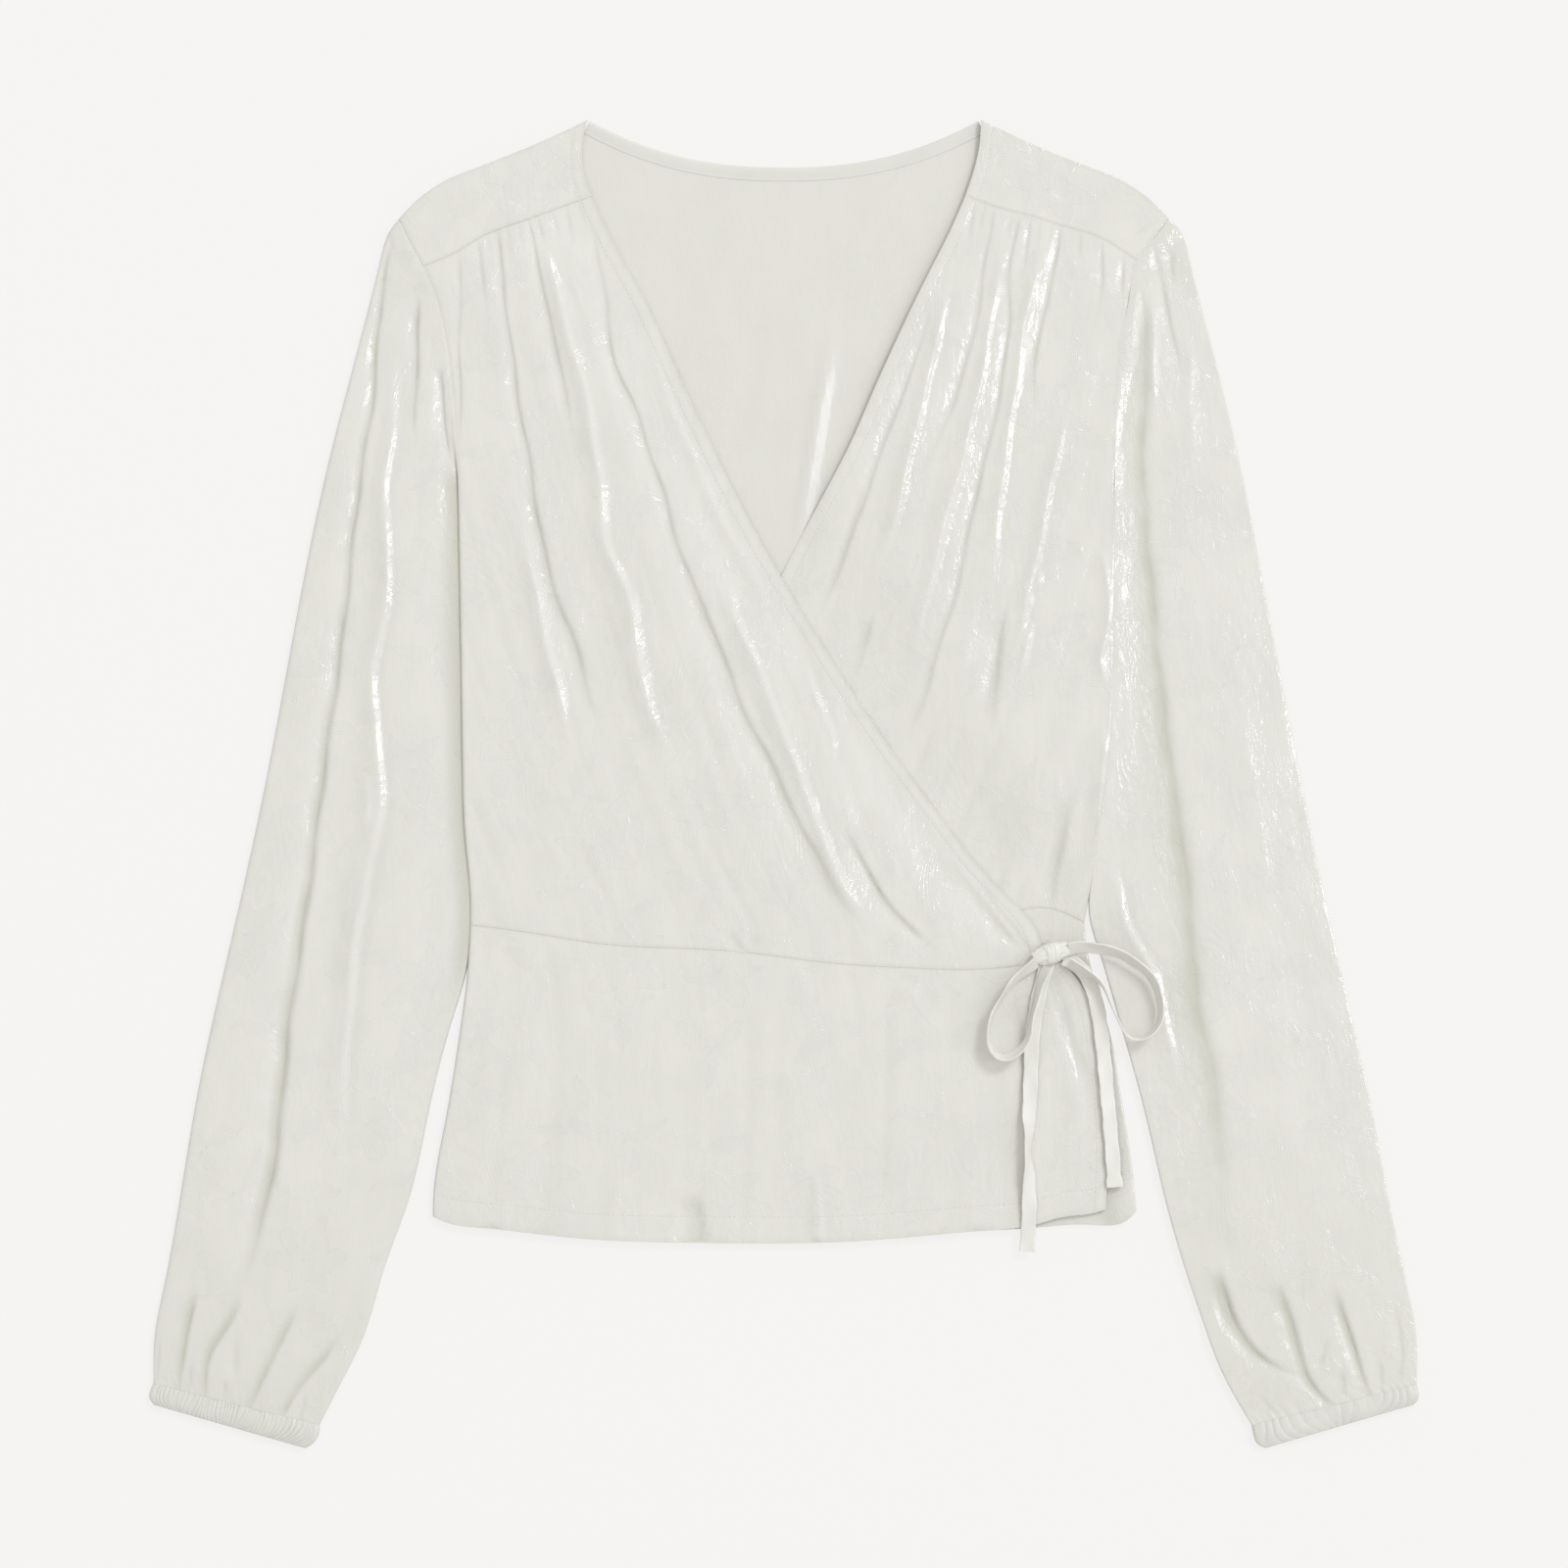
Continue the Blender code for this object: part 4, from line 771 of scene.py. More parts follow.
def lipped(grid, edge, beyond=0.7, down=1.0, across=False):
    """Adds a row beyond a piece's first row, or its last with edge -1; across adds a column instead.

    The lip of a seam slips under the piece sewn to it, and the lip of a free edge is its own thickness.
    """
    if across:
        return lipped(grid.transpose(1, 0, 2), edge, beyond, down).transpose(1, 0, 2)
    step = grid[edge, :, :2] - grid[1 if edge == 0 else -2, :, :2]
    lip = grid[edge].copy()
    lip[:, :2] += unit(step) * beyond
    lip[:, 2] -= down
    return np.concatenate([lip[None], grid] if edge == 0 else [grid, lip[None]])


# A stitch's rings: how far along its pitch, how far up and how full, and the points round each
STITCH = ((0.06, -0.22, 0.5), (0.2, 0.02, 0.95), (0.5, 0.12, 1.0), (0.8, 0.02, 0.95), (0.94, -0.22, 0.5))
STITCH_SIDES = 6
STITCH_PITCH, THREAD_HALF = 2.5, 0.13


def stitch_row(name, path):
    """A row of machine stitches along a path in mm: short threads that dip in at both ends."""
    knots = reach(path)
    share, lift, girth = np.array(STITCH).T

    def at(down):
        return np.stack([np.interp(down, knots, path[:, i]) for i in range(3)], axis=-1)

    down = (np.arange(int(knots[-1] / STITCH_PITCH))[:, None] + share) * STITCH_PITCH
    middle = at(down)
    ahead = at(down + 0.2) - middle
    side = unit(np.stack([-ahead[..., 1], ahead[..., 0], np.full(down.shape, 1e-9)], axis=-1))
    turn = 2 * math.pi * np.arange(STITCH_SIDES) / STITCH_SIDES
    half = THREAD_HALF * girth[:, None]
    points = middle[:, :, None] + side[:, :, None] * (np.cos(turn) * half)[..., None]
    points[..., 2] += lift[:, None] + np.sin(turn) * half
    here = np.arange(len(STITCH) * STITCH_SIDES).reshape(-1, STITCH_SIDES)
    beside = np.roll(here, -1, axis=1)
    stitch = np.dstack([here[:-1], beside[:-1], beside[1:], here[1:]]).reshape(-1, 4).tolist()
    stitch += [here[0, ::-1].tolist(), here[-1].tolist()]
    faces = [[first + i for i in face] for first in range(0, points.size // 3, here.size) for face in stitch]
    mesh = placed(name, points, faces, thread_finish).data
    shape = bmesh.new()
    shape.from_mesh(mesh)
    bmesh.ops.recalc_face_normals(shape, faces=shape.faces)
    shape.to_mesh(mesh)
    shape.free()


def twisted_thread(cloth):
    """Sewing thread, with the ridges of its twist."""
    twist = cloth.node("TexCoord", {}, {}, "Object").noise(5200.0, 5200.0, z=5200.0)
    return twist, twist * 0.03, twist * 0.1


THREAD_IVORY = ((0.70, 0.695, 0.655), (0.78, 0.775, 0.735))
thread_finish = cloth_finish("sewing_thread", twisted_thread, THREAD_IVORY, 0.75)


def yoke_level(plan, away, neck, hole):
    """The top of a yoke at each point."""
    x, y = plan[..., 0], plan[..., 1]
    level = upper_level(y) if hole else sunk_level(x, y)
    level = level + 0.1 * (1 - ramp(away[3], 0.6, 2.2)) - 0.1 * (1 - ramp(away[3], 0.0, 0.6))
    level = level + turned_edge(away[neck], NECK_BAND) + seamed(away[hole])
    bumpy = 0.28 * bumps(x, y, 24.0, 17.0, 21) + 0.08 * bumps(x, y, 8.0, 7.0, 22)
    level = level + bumpy * ramp(away[3], 0.0, 6.0) * ramp(away[hole], 0.0, 5.0)
    return ROLL_FOOT + (level - ROLL_FOOT) * rolled(away[2] * CREASED)


EDGE_LEAN, EDGE_GAP = 0.15, 0.1  # a free edge leans in on its way down, and ends above what is below
stitched = TURNED.index(NECK_BAND)
yokes = {
    "right_yoke": ([(-x, y) for x, y in SHOULDER[::-1]], RIGHT_YOKE_SEAM, RIGHT_ARMHOLE[:3], RIGHT_EDGE[:4]),
    "left_yoke": (SHOULDER, LEFT_YOKE_SEAM, LEFT_EDGE[:4], LEFT_ARMHOLE[:3]),
}
for node, sides in yokes.items():
    neck, hole = (1, 0) if node == "right_yoke" else (0, 1)
    insets = [SEAMED, SEAMED, ROLLED, (0.0, 0.3, 0.6, 1.2, 2.2)]
    insets[neck] = TURNED
    plan, away = plan_of(sides, 66, 24, insets)
    grid = np.dstack([plan, yoke_level(plan, away, neck, hole)])
    stitch_row(node + "_neck_stitches", grid[len(ROLLED) :, -1 - stitched if neck else stitched])
    grid = lipped(grid, -neck, -EDGE_LEAN, grid[:, -neck, 2] * 0.6, across=True)
    # painted shade at the yoke's edges
    piece = woven(node + "_cloth", grid, CLOTH_WALL, front_finish, grain=0.0,
                  painted_shade=painted_rim_shade(grid))
    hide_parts(node)


# Fronts. Each is one wide piece of jacquard satin drawn into gathers on its yoke, from which its
# folds run down and across to the waist. The right front laps over the left one, and the free
# edge of each is turned in and stitched.
UNDER_LEVEL = 1.75
LEFT_EDGE_SHOWN = 120  # rows of the left front before its edge goes in under the right one
LAYER_STEP = 0.8
HIP_SLANT = 4.8  # the free edge of the peplum is steeper, so distances from it count for more
WAIST_SEAM = ((-160.5, -72), (-136, -75), (-117, -78), (-90, -82), (-50, -84), (-20, -86), (20, -91),
              (65, -94), (105, -94.3), (119, -92.8), (131.5, -90.8))
LEFT_WAIST = ((-118, -73), (-60, -79), (0, -82), (60, -79), (105, -69.5), (135, -63.5), (153.5, -71))

# A fold's path runs down the cloth. Its half width is given at both ends, and its fades as shares
# of its length. It rises above the cloth or sinks below it, and skew widens its left-hand flank.
Fold = namedtuple("Fold", "path width fade rise skew", defaults=(0.0,))
RIGHT_FRONT_FOLDS = (
    Fold(((-165, 272), (-165.5, 220), (-165, 160)), (1.5, 2), (0, 0.3), -0.6, 1.3),
    Fold(((-156, 278), (-153.5, 258), (-151, 235)), (1.5, 3), (0, 0.6), -0.9, 1.3),
    Fold(((-150.5, 280.5), (-149.5, 266)), (1.2, 2), (0, 0.7), -0.5, 1.3),
    Fold(((-145.5, 283), (-143.5, 254.5), (-141, 235), (-136, 197), (-130.5, 165), (-122, 115), (-116, 94),
         (-108, 73.5), (-101.5, 51), (-92, 17)), (2, 4.6), (0, 0.25), -1.8, 1.3),
    Fold(((-140.5, 285.5), (-139.5, 268)), (1.2, 2), (0, 0.7), -0.5, 1.3),
    Fold(((-135, 287), (-133.5, 272)), (1.2, 1.8), (0, 0.7), -0.5, 1.3),
    Fold(((-130.5, 288.5), (-125.5, 267), (-120.5, 239), (-114, 212.5), (-110.5, 190.5), (-106, 170)),
         (1.6, 3.2), (0, 0.5), -1.2, 1.3),
    Fold(((-125.5, 290), (-122, 272)), (1.2, 2), (0, 0.7), -0.5, 1.3),
    Fold(((-118, 292.5), (-114.5, 276)), (1.3, 2.2), (0, 0.7), -0.6, 1.3),
    Fold(((-111, 295.5), (-107, 272)), (1.4, 2.4), (0, 0.7), -0.6, 1.3),
    Fold(((-104.5, 297.5), (-101, 282)), (1.2, 2), (0, 0.7), -0.5, 1.3),
    Fold(((-98, 290), (-93, 257.5), (-89.5, 233), (-83.5, 205.5), (-75.5, 190), (-68, 165.5), (-60.5, 144),
         (-55, 123), (-47, 102), (-34.5, 73.5), (-20, 35), (-10.5, 17.5), (-1, -3), (7, -19), (18, -40),
         (27.5, -57.5), (46, -80.5)), (2.2, 4.2), (0.1, 0.12), -1.5, 1.3),
    Fold(((29, -14), (35, -29.5), (42, -44), (53.5, -61.5), (73.5, -81.5)), (2.2, 2.6), (0.5, 0.1), -1.4,
         1.3),
    Fold(((80, -33), (100, -60), (121, -84)), (4, 3), (0.4, 0.1), -1.2, 1.3),
    Fold(((98, -50), (110, -64), (119.5, -76.5), (126.5, -86)), (1.4, 2), (0.5, 0.05), -0.6, 1.3),
    Fold(((-122, 281), (-113, 239), (-103, 204.5), (-96.5, 171.5), (-93.5, 145), (-89.5, 118), (-79, 94),
         (-74, 60), (-67, 35), (-55, 6)), (4.2, 5.2), (0.1, 0.2), 1.95, 0.4),
    Fold(((-30, 112), (-22.5, 80), (-14.5, 61), (-3.5, 34), (1.5, 19.5), (10, -1), (19, -26.5), (31, -53.5),
         (49, -77)), (3.8, 4.6), (0.15, 0.2), 1.6, 0.4),
    Fold(((-137, 150), (-127, 100), (-116, 50), (-108, 15)), (3.6, 4.4), (0.4, 0.3), 1.6, 0.3),
    Fold(((-68, 220), (-44, 160), (-10, 92)), (4, 5), (0.3, 0.3), 0.7),
    Fold(((8.5, 70), (18, 40), (30, 11)), (2.5, 3.5), (0.4, 0.4), 0.8),
)
LEFT_FRONT_FOLDS = (
    Fold(((76, 254), (70, 225), (62, 204), (54, 181.5), (43.5, 153.5), (32, 120), (14, 80)), (2, 3),
         (0.3, 0.1), -1.1, 1.4),
    Fold(((97.5, 297), (94, 271)), (1.4, 2.6), (0, 0.7), -0.8, 1.4),
    Fold(((102.5, 295.5), (99.5, 280)), (1.2, 1.8), (0, 0.7), -0.5, 1.4),
    Fold(((107.5, 294.5), (102.5, 266), (94, 219), (89, 203), (81, 181.5), (67.5, 149.5)), (1.7, 3.6),
         (0, 0.4), -1.05, 1.4),
    Fold(((116, 291.5), (114.5, 277)), (1.2, 1.8), (0, 0.7), -0.5, 1.4),
    Fold(((120.5, 290.5), (115.5, 266), (114.5, 235), (110.5, 203), (105, 176), (99.5, 153.5), (94, 130.5),
         (92.5, 120), (85.5, 92), (77, 64), (68.5, 37), (58, 12.5)), (1.8, 3.4), (0, 0.15), -1.2, 1.4),
    Fold(((126, 289), (123.5, 271), (122, 257)), (1.4, 2.2), (0, 0.6), -0.7, 1.4),
    Fold(((131, 287.5), (129.5, 275)), (1.2, 1.6), (0, 0.7), -0.4, 1.4),
    Fold(((136.5, 285.5), (134.5, 272)), (1.3, 1.8), (0, 0.7), -0.5, 1.4),
    Fold(((141, 284.5), (138.5, 266), (134.5, 250), (129.5, 224.5), (127, 208), (128, 180)), (1.7, 3.4),
         (0, 0.5), -1.2, 1.4),
    Fold(((151.5, 281.5), (150, 265)), (1.4, 2.2), (0, 0.7), -0.6, 1.4),
    Fold(((162, 277.5), (162, 258), (159, 235)), (1.4, 3), (0, 0.6), -0.9, 1.4),
    Fold(((173.5, 270), (172, 243)), (1.4, 2.2), (0, 0.6), -0.7, 1.4),
    Fold(((46, 89), (35, 48.5)), (3, 4), (0.3, 0.3), -1.2, 1.4),
    Fold(((148.5, 0), (141.5, -27.5), (138.5, -48.5), (136, -66), (135.5, -82)), (6, 2.6), (0.4, 0.02),
         -2.2, 1.4),
    Fold(((115, 100), (111, 78), (107, 50), (106, 20)), (5, 6), (0.4, 0.4), -1.8, 1.4),
    Fold(((86, 262), (79.5, 237.5), (75.5, 215), (69, 190), (60, 150), (45, 100)), (2.8, 3.3), (0.2, 0.3),
         1.04, 0.4),
    Fold(((112, 278), (107.5, 250), (103.5, 225), (98, 196), (88, 155), (79, 122), (71, 89), (62, 55)),
         (2.7, 3.3), (0.2, 0.3), 1.02, 0.4),
    Fold(((131, 275), (122.5, 232.5), (117, 196), (112.5, 165), (109, 137.5), (106, 95)), (2.5, 3),
         (0.2, 0.3), 0.94, 0.4),
    Fold(((148, 205), (139, 168), (133.5, 140), (127, 110), (121, 80), (114, 50)), (2.7, 3.2), (0.3, 0.4),
         0.95, 0.4),
    Fold(((162, 122), (165, 98), (164.5, 76), (161.5, 65), (163.5, 48)), (2.4, 2.6), (0.2, 0.2), 0.85),
    Fold(((164, 30), (162, 0), (158, -30), (154.5, -48)), (2.4, 2.8), (0.2, 0.3), 0.95),
    Fold(((131, 112), (129, 98)), (2.2, 2.6), (0.3, 0.3), 0.88),
    Fold(((126, 84), (120, 54)), (2.4, 2.8), (0.3, 0.3), 0.95),
)


def fold_field(x, y, folds):
    """How far a set of folds lifts or sinks the cloth at each x, y."""
    total = np.zeros_like(x)
    for fold in folds:
        path = np.array(fold.path)
        drop = path[0, 1] - path[-1, 1]
        along = (path[0, 1] - y) / drop
        down = np.clip(along, 0.0, 1.0) * drop
        middle = cubic(path[0, 1] - path[:, 1], path[:, 0])
        slope = middle(down + 0.5) - middle(down - 0.5)
        sway = 0.5 * np.sin(down * 0.13 + path[0, 0]) * ramp(down, 0.0, 30.0)
        away = (x - middle(down) - sway) / np.sqrt(1.0 + slope**2)
        width = fold.width[0] + (fold.width[1] - fold.width[0]) * np.clip(along, 0.0, 1.0)
        size = width / max(fold.width)
        width = width * np.where(away < 0.0, 1.0 + fold.skew, max(1.0 - 0.4 * fold.skew, 0.45))
        fade = ramp(along, 0.0, fold.fade[0]) * ramp(1.0 - along, 0.0, fold.fade[1])
        fade = fade * (0.2 + 0.8 * ramp(down, 0.0, 9.0))
        uneven = 0.16 * np.sin(down * 0.09 + path[0, 1]) + 0.1 * np.sin(down * 0.27 + path[0, 0])
        uneven = 1.0 + (0.5 if fold.rise > 0.0 else 1.0) * uneven
        profile = 0.62 * np.exp(-((away / width) ** 2)) + 0.38 * np.exp(-((away / (0.5 * width)) ** 2))
        total += fold.rise * size * fade * uneven * profile
    return total


def at_least(level, floor_level):
    """The greater of two heights, with a soft bend where they meet."""
    return 0.5 * (level + floor_level + np.sqrt((level - floor_level) ** 2 + 0.16))


RIGHT_PEPLUM_EDGE = ((142, -91), (153, -105), (159.3, -125), (163.2, -150), (165.3, -180), (164, -217))


def left_height(x, y):
    """The top of the left front and peplum, which sink where the right ones cover them."""
    clear = beyond_edge(x, y, RIGHT_EDGE)
    below_waist = HIP_SLANT * beyond_edge(x, y, RIGHT_PEPLUM_EDGE)
    clear = clear + (below_waist - clear) * ramp(-y, 91.0, 112.0)
    shown = ramp(clear, 4.0, 24.0)
    near = ramp(clear, -2.0, 6.0)
    folds = fold_field(x, y, LEFT_FRONT_FOLDS) * (0.3 * near + 0.7 * shown)
    level = UNDER_LEVEL + (upper_level(y) - UNDER_LEVEL + 0.2) * ramp(clear, 2.0, 60.0)
    return at_least(level + folds, UNDER_LEVEL)


def right_height(x, y):
    """The top of the right front and peplum, which lie over the left ones."""
    folds = fold_field(x, y, RIGHT_FRONT_FOLDS) + fold_field(x, y, PEPLUM_FOLDS)
    lapped = ramp(beyond_edge(x, y, LEFT_EDGE), -14.0, -3.0)
    below = BACK_LEVEL + (left_height(np.minimum(x, 150.0), y) - BACK_LEVEL) * lapped
    return at_least(sunk_level(x, y) + folds, below + LAYER_STEP)


def crumple(spread, seed, amount=1.0):
    """The cloth's own soft unevenness, drawn out along its folds."""
    s, t = spread[..., 0], spread[..., 1]
    return amount * (0.22 * bumps(s, t, 14.0, 70.0, seed) + 0.05 * bumps(s, t, 6.0, 20.0, seed + 1))


PEPLUM_FOLDS = (
    Fold(((138.5, -92), (140.5, -104), (143.5, -115), (147, -127), (152.5, -142), (158, -170)), (2.6, 5),
         (0.02, 0.5), -0.9, 1),
    Fold(((134.5, -104), (140, -130), (148.5, -160), (153, -195)), (4, 5), (0.2, 0.4), 0.5),
    Fold(((116, -98), (123, -130), (126, -165)), (3, 4), (0.3, 0.5), -1, 1.4),
    Fold(((62, -98), (70, -122)), (5, 6), (0.3, 0.5), 0.7),
    Fold(((16, -190), (17, -233)), (2, 2.6), (0.5, 0), 0.8),
    Fold(((-45, -205), (-42, -233)), (5, 7), (0.5, 0), -1.8, 1.4),
    Fold(((-138, -190), (-145, -226)), (6, 8), (0.5, 0), 0.6),
    Fold(((96, -205), (97, -227)), (5, 7), (0.5, 0), 0.6),
    Fold(((-28, -73.5), (-20, -86)), (2.5, 2.5), (0.3, 0.1), -0.6, 1.4),
)


def below_armpit(y):
    """The side rolls down below the armpit, and not where the sleeve is sewn on."""
    return ramp(164.0 - y, 0.0, 14.0)


def front_level(plan, away, height, side, seed):
    """The top of a front at each point: side names its rolled side, and the other is its free edge."""
    x, y = plan[..., 0], plan[..., 1]
    spread = np.dstack([away[0] - away[1], away[2]])
    level = height(x, y) + crumple(spread, seed) * ramp(away[2], 0.0, 6.0) * ramp(away[3], 0.0, 6.0)
    level = level + turned_edge(away[1 - side], NECK_BAND) + seamed(away[2], 0.08) + seamed(away[3], 0.04)
    level = level + seamed(away[side]) * (1 - below_armpit(y))
    roll = 1 - (1 - rolled(away[side] * (CREASED if side == 1 else 1.0))) * below_armpit(y)
    return ROLL_FOOT + (level - ROLL_FOOT) * roll


def edged(grid, column, below):
    """Adds a free edge's own thickness, down to what is below it, and the lip of the seam at the top."""
    down = grid[:, column, 2] - below - EDGE_GAP
    return lipped(lipped(grid, column, -EDGE_LEAN, down, across=True), 0)


def front_cloth(name, grid):
    """A front's or a front peplum's cloth, with painted shade in its folds and at its edges."""
    return woven(name + "_cloth", grid, CLOTH_WALL, front_finish, grain=0.0,
                 painted_shade=np.maximum(painted_fold_shade(grid), painted_rim_shade(grid)))


right_side = RIGHT_ARMHOLE[2:] + RIGHT_SIDE[1:]
left_side = LEFT_ARMHOLE[2:] + LEFT_SIDE[1:]
plan, away = plan_of((RIGHT_YOKE_SEAM, WAIST_SEAM, right_side, RIGHT_EDGE[3:]), 208, 188,
                     (ROLLED, TURNED, SEAMED, SEAMED))
grid = np.dstack([plan, front_level(plan, away, right_height, 0, 31)])
stitch_row("right_front_edge_stitches", grid[:, -1 - stitched])
edge_x, edge_y = grid[:, -1, 0], grid[:, -1, 1]
below = np.where(beyond_edge(edge_x, edge_y, LEFT_EDGE) > 0.0, left_height(edge_x, edge_y), BACK_LEVEL)
right_front = front_cloth("right_front", edged(grid, -1, below))
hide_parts("right_front")

plan, away = plan_of((LEFT_YOKE_SEAM, LEFT_WAIST, LEFT_EDGE[3:], left_side), 186, 180,
                     (TURNED, ROLLED, SEAMED, SEAMED))
grid = np.dstack([plan, front_level(plan, away, left_height, 1, 41)])
stitch_row("left_front_edge_stitches", grid[:LEFT_EDGE_SHOWN, stitched])
left_front = front_cloth("left_front", edged(grid, 0, BACK_LEVEL))
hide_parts("left_front")


# Peplums. Two flared panels of the same satin hang from the waist seam. The right one laps over
# the left one as the fronts do, and each has a hem turned up and stitched along its foot.
HEM_BAND = 12.5
HEMMED = (0.0, 0.2, 0.6, 1.2, 4.0, 8.0, 11.2, 12.0, 12.5, 13.0, 14.0)
RIGHT_PEPLUM_TOP = (*WAIST_SEAM, RIGHT_PEPLUM_EDGE[0])
LEFT_PEPLUM_EDGE = ((-118, -73), (-138, -97), (-148, -113), (-156.5, -138), (-160.5, -168), (-163, -221))


def peplum_level(plan, away, height, side, seed):
    """The top of a peplum at each point: side names its rolled side, and the other is its free edge."""
    x, y = plan[..., 0], plan[..., 1]
    free = away[1 - side]
    spread = np.dstack([away[0] - away[1], away[2]])
    level = height(x, y) + crumple(spread, seed, 0.8) * ramp(away[2], 0.0, 6.0)
    level = level + turned_edge(free, NECK_BAND) * 0.7 + turned_edge(away[3], HEM_BAND) * 0.8
    level = level + seamed(away[2], 0.04)
    if side == 0:  # the lapped edge rolls down beside the tie
        beside_tie = ramp(y, -212.0, -185.0) * ramp(-y, 96.0, 120.0)
        level = level - 0.3 * ramp(9.0 - free, 0.0, 8.0) * beside_tie
    return ROLL_FOOT + (level - ROLL_FOOT) * rolled(away[side])


plan, away = plan_of((RIGHT_PEPLUM_TOP, RIGHT_HEM, RIGHT_HIP, RIGHT_PEPLUM_EDGE), 170, 66,
                     (ROLLED, TURNED, SEAMED, HEMMED))
grid = np.dstack([plan, peplum_level(plan, away, right_height, 0, 51)])
stitch_row("right_peplum_hem_stitches", grid[-1 - HEMMED.index(HEM_BAND), 2:])
stitch_row("right_peplum_edge_stitches", grid[2:, -1 - stitched])
right_peplum = front_cloth("right_peplum", edged(grid, -1, left_height(grid[:, -1, 0], grid[:, -1, 1])))
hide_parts("right_peplum")

plan, away = plan_of((LEFT_WAIST, LEFT_HEM, LEFT_PEPLUM_EDGE, LEFT_HIP), 120, 60,
                     (TURNED, ROLLED, SEAMED, HEMMED))
grid = np.dstack([plan, peplum_level(plan, away, left_height, 1, 61)])
left_peplum = front_cloth("left_peplum", lipped(grid, 0))
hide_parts("left_peplum")


# Sleeves. Long tubes of jacquard satin, set into the armholes with a little fullness, laid flat
# with rounded edges, and drawn in by the elastic at the wrist so that they blouse above the cuff.
SLEEVE_EDGE_LEVEL, SLEEVE_CROWN = 4.2, 1.1
SLEEVE_LENGTH = 640.0
SLEEVE_LEAST = 1.3  # the upper side of a sleeve is never lower
WRIST_LEVEL = 3.9
SLEEVE_GRAIN = 9.5  # degrees that the sleeves turn out
INNER_LAG = 0.11  # the inner edge is shorter, so its rings start closer together
SLEEVE_RINGS, SLEEVE_UNDER = 236, 18  # rings down a sleeve, and points across its underside
RING_PLACES = (0.0, 0.02, 0.05, 0.09, 0.135, 0.185, 0.25, 0.33, 0.42, 0.51, 0.6, 0.69, 0.77, 0.84, 0.885,
               0.92, 0.95, 0.975, 1.0)
EDGE_ROUND = (1.0, 0.35)  # how wide the rounded edges of the right sleeve are, and of the left one
ROUNDED = ((0.0, 0.35), (0.15, 0.64), (0.35, 0.8), (0.7, 0.91), (1.2, 0.965), (2.0, 0.99),
           (3.0, 1.0))  # how far in from a tube's edge, and its share of the height
RIGHT_SLEEVE_OUTER = ((-196.5, 288.5), (-201, 283), (-206, 268.5), (-211, 248), (-220, 213.5),
                      (-232.5, 165), (-250, 80), (-265, 0), (-282.5, -80), (-300, -160), (-310, -220),
                      (-317.5, -260), (-321.3, -280), (-322, -306))
RIGHT_SLEEVE_INNER = ((-167, 164), (-164.2, 100), (-162.8, 14), (-161, -28), (-159.2, -60), (-162.4, -97),
                      (-169, -119.5), (-182, -170.5), (-191.5, -212), (-204.5, -248.5), (-215, -283),
                      (-224.7, -303), (-237, -327))
LEFT_SLEEVE_OUTER = ((196.5, 288.5), (202, 283), (207, 268.5), (212, 248), (221, 213.5), (232.5, 165),
                     (249, 80), (264.5, 0), (281, -80), (300, -165), (310.5, -220), (319.5, -261.5),
                     (322.8, -280), (323, -306))
LEFT_SLEEVE_INNER = ((168.5, 164), (167.4, 103), (165.8, 33), (163.8, 5), (159.4, -22), (156.9, -45),
                     (155.6, -66), (161.2, -87), (170, -117), (183, -163), (194.5, -212), (205, -248.5),
                     (215, -278), (222.5, -298), (238.5, -327))
RIGHT_SLEEVE_FOLDS = (
    Fold(((-198.5, 284), (-203.5, 260.5), (-207.5, 229), (-210, 197), (-215, 165), (-225, 80), (-236, 0),
         (-244, -63.5), (-253.5, -127.5), (-261.5, -199), (-271.5, -239), (-282, -272)), (2.2, 5),
         (0.05, 0.15), -2.7, 1.3),
    Fold(((-186, 252), (-188, 213), (-189.5, 165)), (2.2, 5), (0.2, 0.6), -2.7, 1.3),
    Fold(((-175.5, 216), (-173.5, 190), (-170, 160)), (2, 2.5), (0.2, 0.4), -1.4, 1.3),
    Fold(((-299, -252), (-302, -270), (-307, -292), (-308.5, -310.5)), (2.6, 1.8), (0.4, 0.03), -1.2, 1.3),
    Fold(((-301.5, -292), (-303.5, -311.5)), (1.2, 1), (0.5, 0.03), -0.6, 1.3),
    Fold(((-277, -258), (-280.5, -270), (-292, -289.5), (-294.5, -302), (-295.5, -315.5)), (3, 2),
         (0.4, 0.03), -1.3, 1.3),
    Fold(((-248, -262), (-251.5, -274), (-259.5, -289.5), (-268.5, -309), (-273.5, -323)), (3, 2),
         (0.4, 0.03), -1.3, 1.3),
    Fold(((-229, -280), (-232, -289.5), (-246.5, -306.5), (-256, -323)), (3, 2), (0.4, 0.1), -1.3, 1.3),
    Fold(((-281, -272), (-278.5, -310)), (4, 4), (0.5, 0.4), -0.6),
    Fold(((-318.5, -278), (-320, -306)), (1.8, 1.6), (0.5, 0.1), -0.9, 1.3),
    Fold(((-313, -297), (-316, -308)), (1.2, 1.2), (0.5, 0.05), -0.4, 1.3),
    Fold(((-250.5, -313.5), (-257, -324)), (1.4, 1.4), (0.4, 0.05), -0.6, 1.3),
    Fold(((-243, -308), (-246.5, -325)), (1.4, 1.4), (0.4, 0.05), -0.6, 1.3),
    Fold(((-284.5, -300), (-285.5, -318)), (1.4, 1.4), (0.4, 0.05), -0.6, 1.3),
    Fold(((-199, 225), (-200.5, 178), (-204, 140), (-202, 105), (-210, 52.5), (-206, -5), (-216, -60),
         (-222, -110), (-226, -160), (-227, -215)), (3.4, 4.2), (0.15, 0.3), 1.6, 0.5),
    Fold(((-213, 10), (-212, -30)), (3, 4), (0.4, 0.4), 0.8),
)
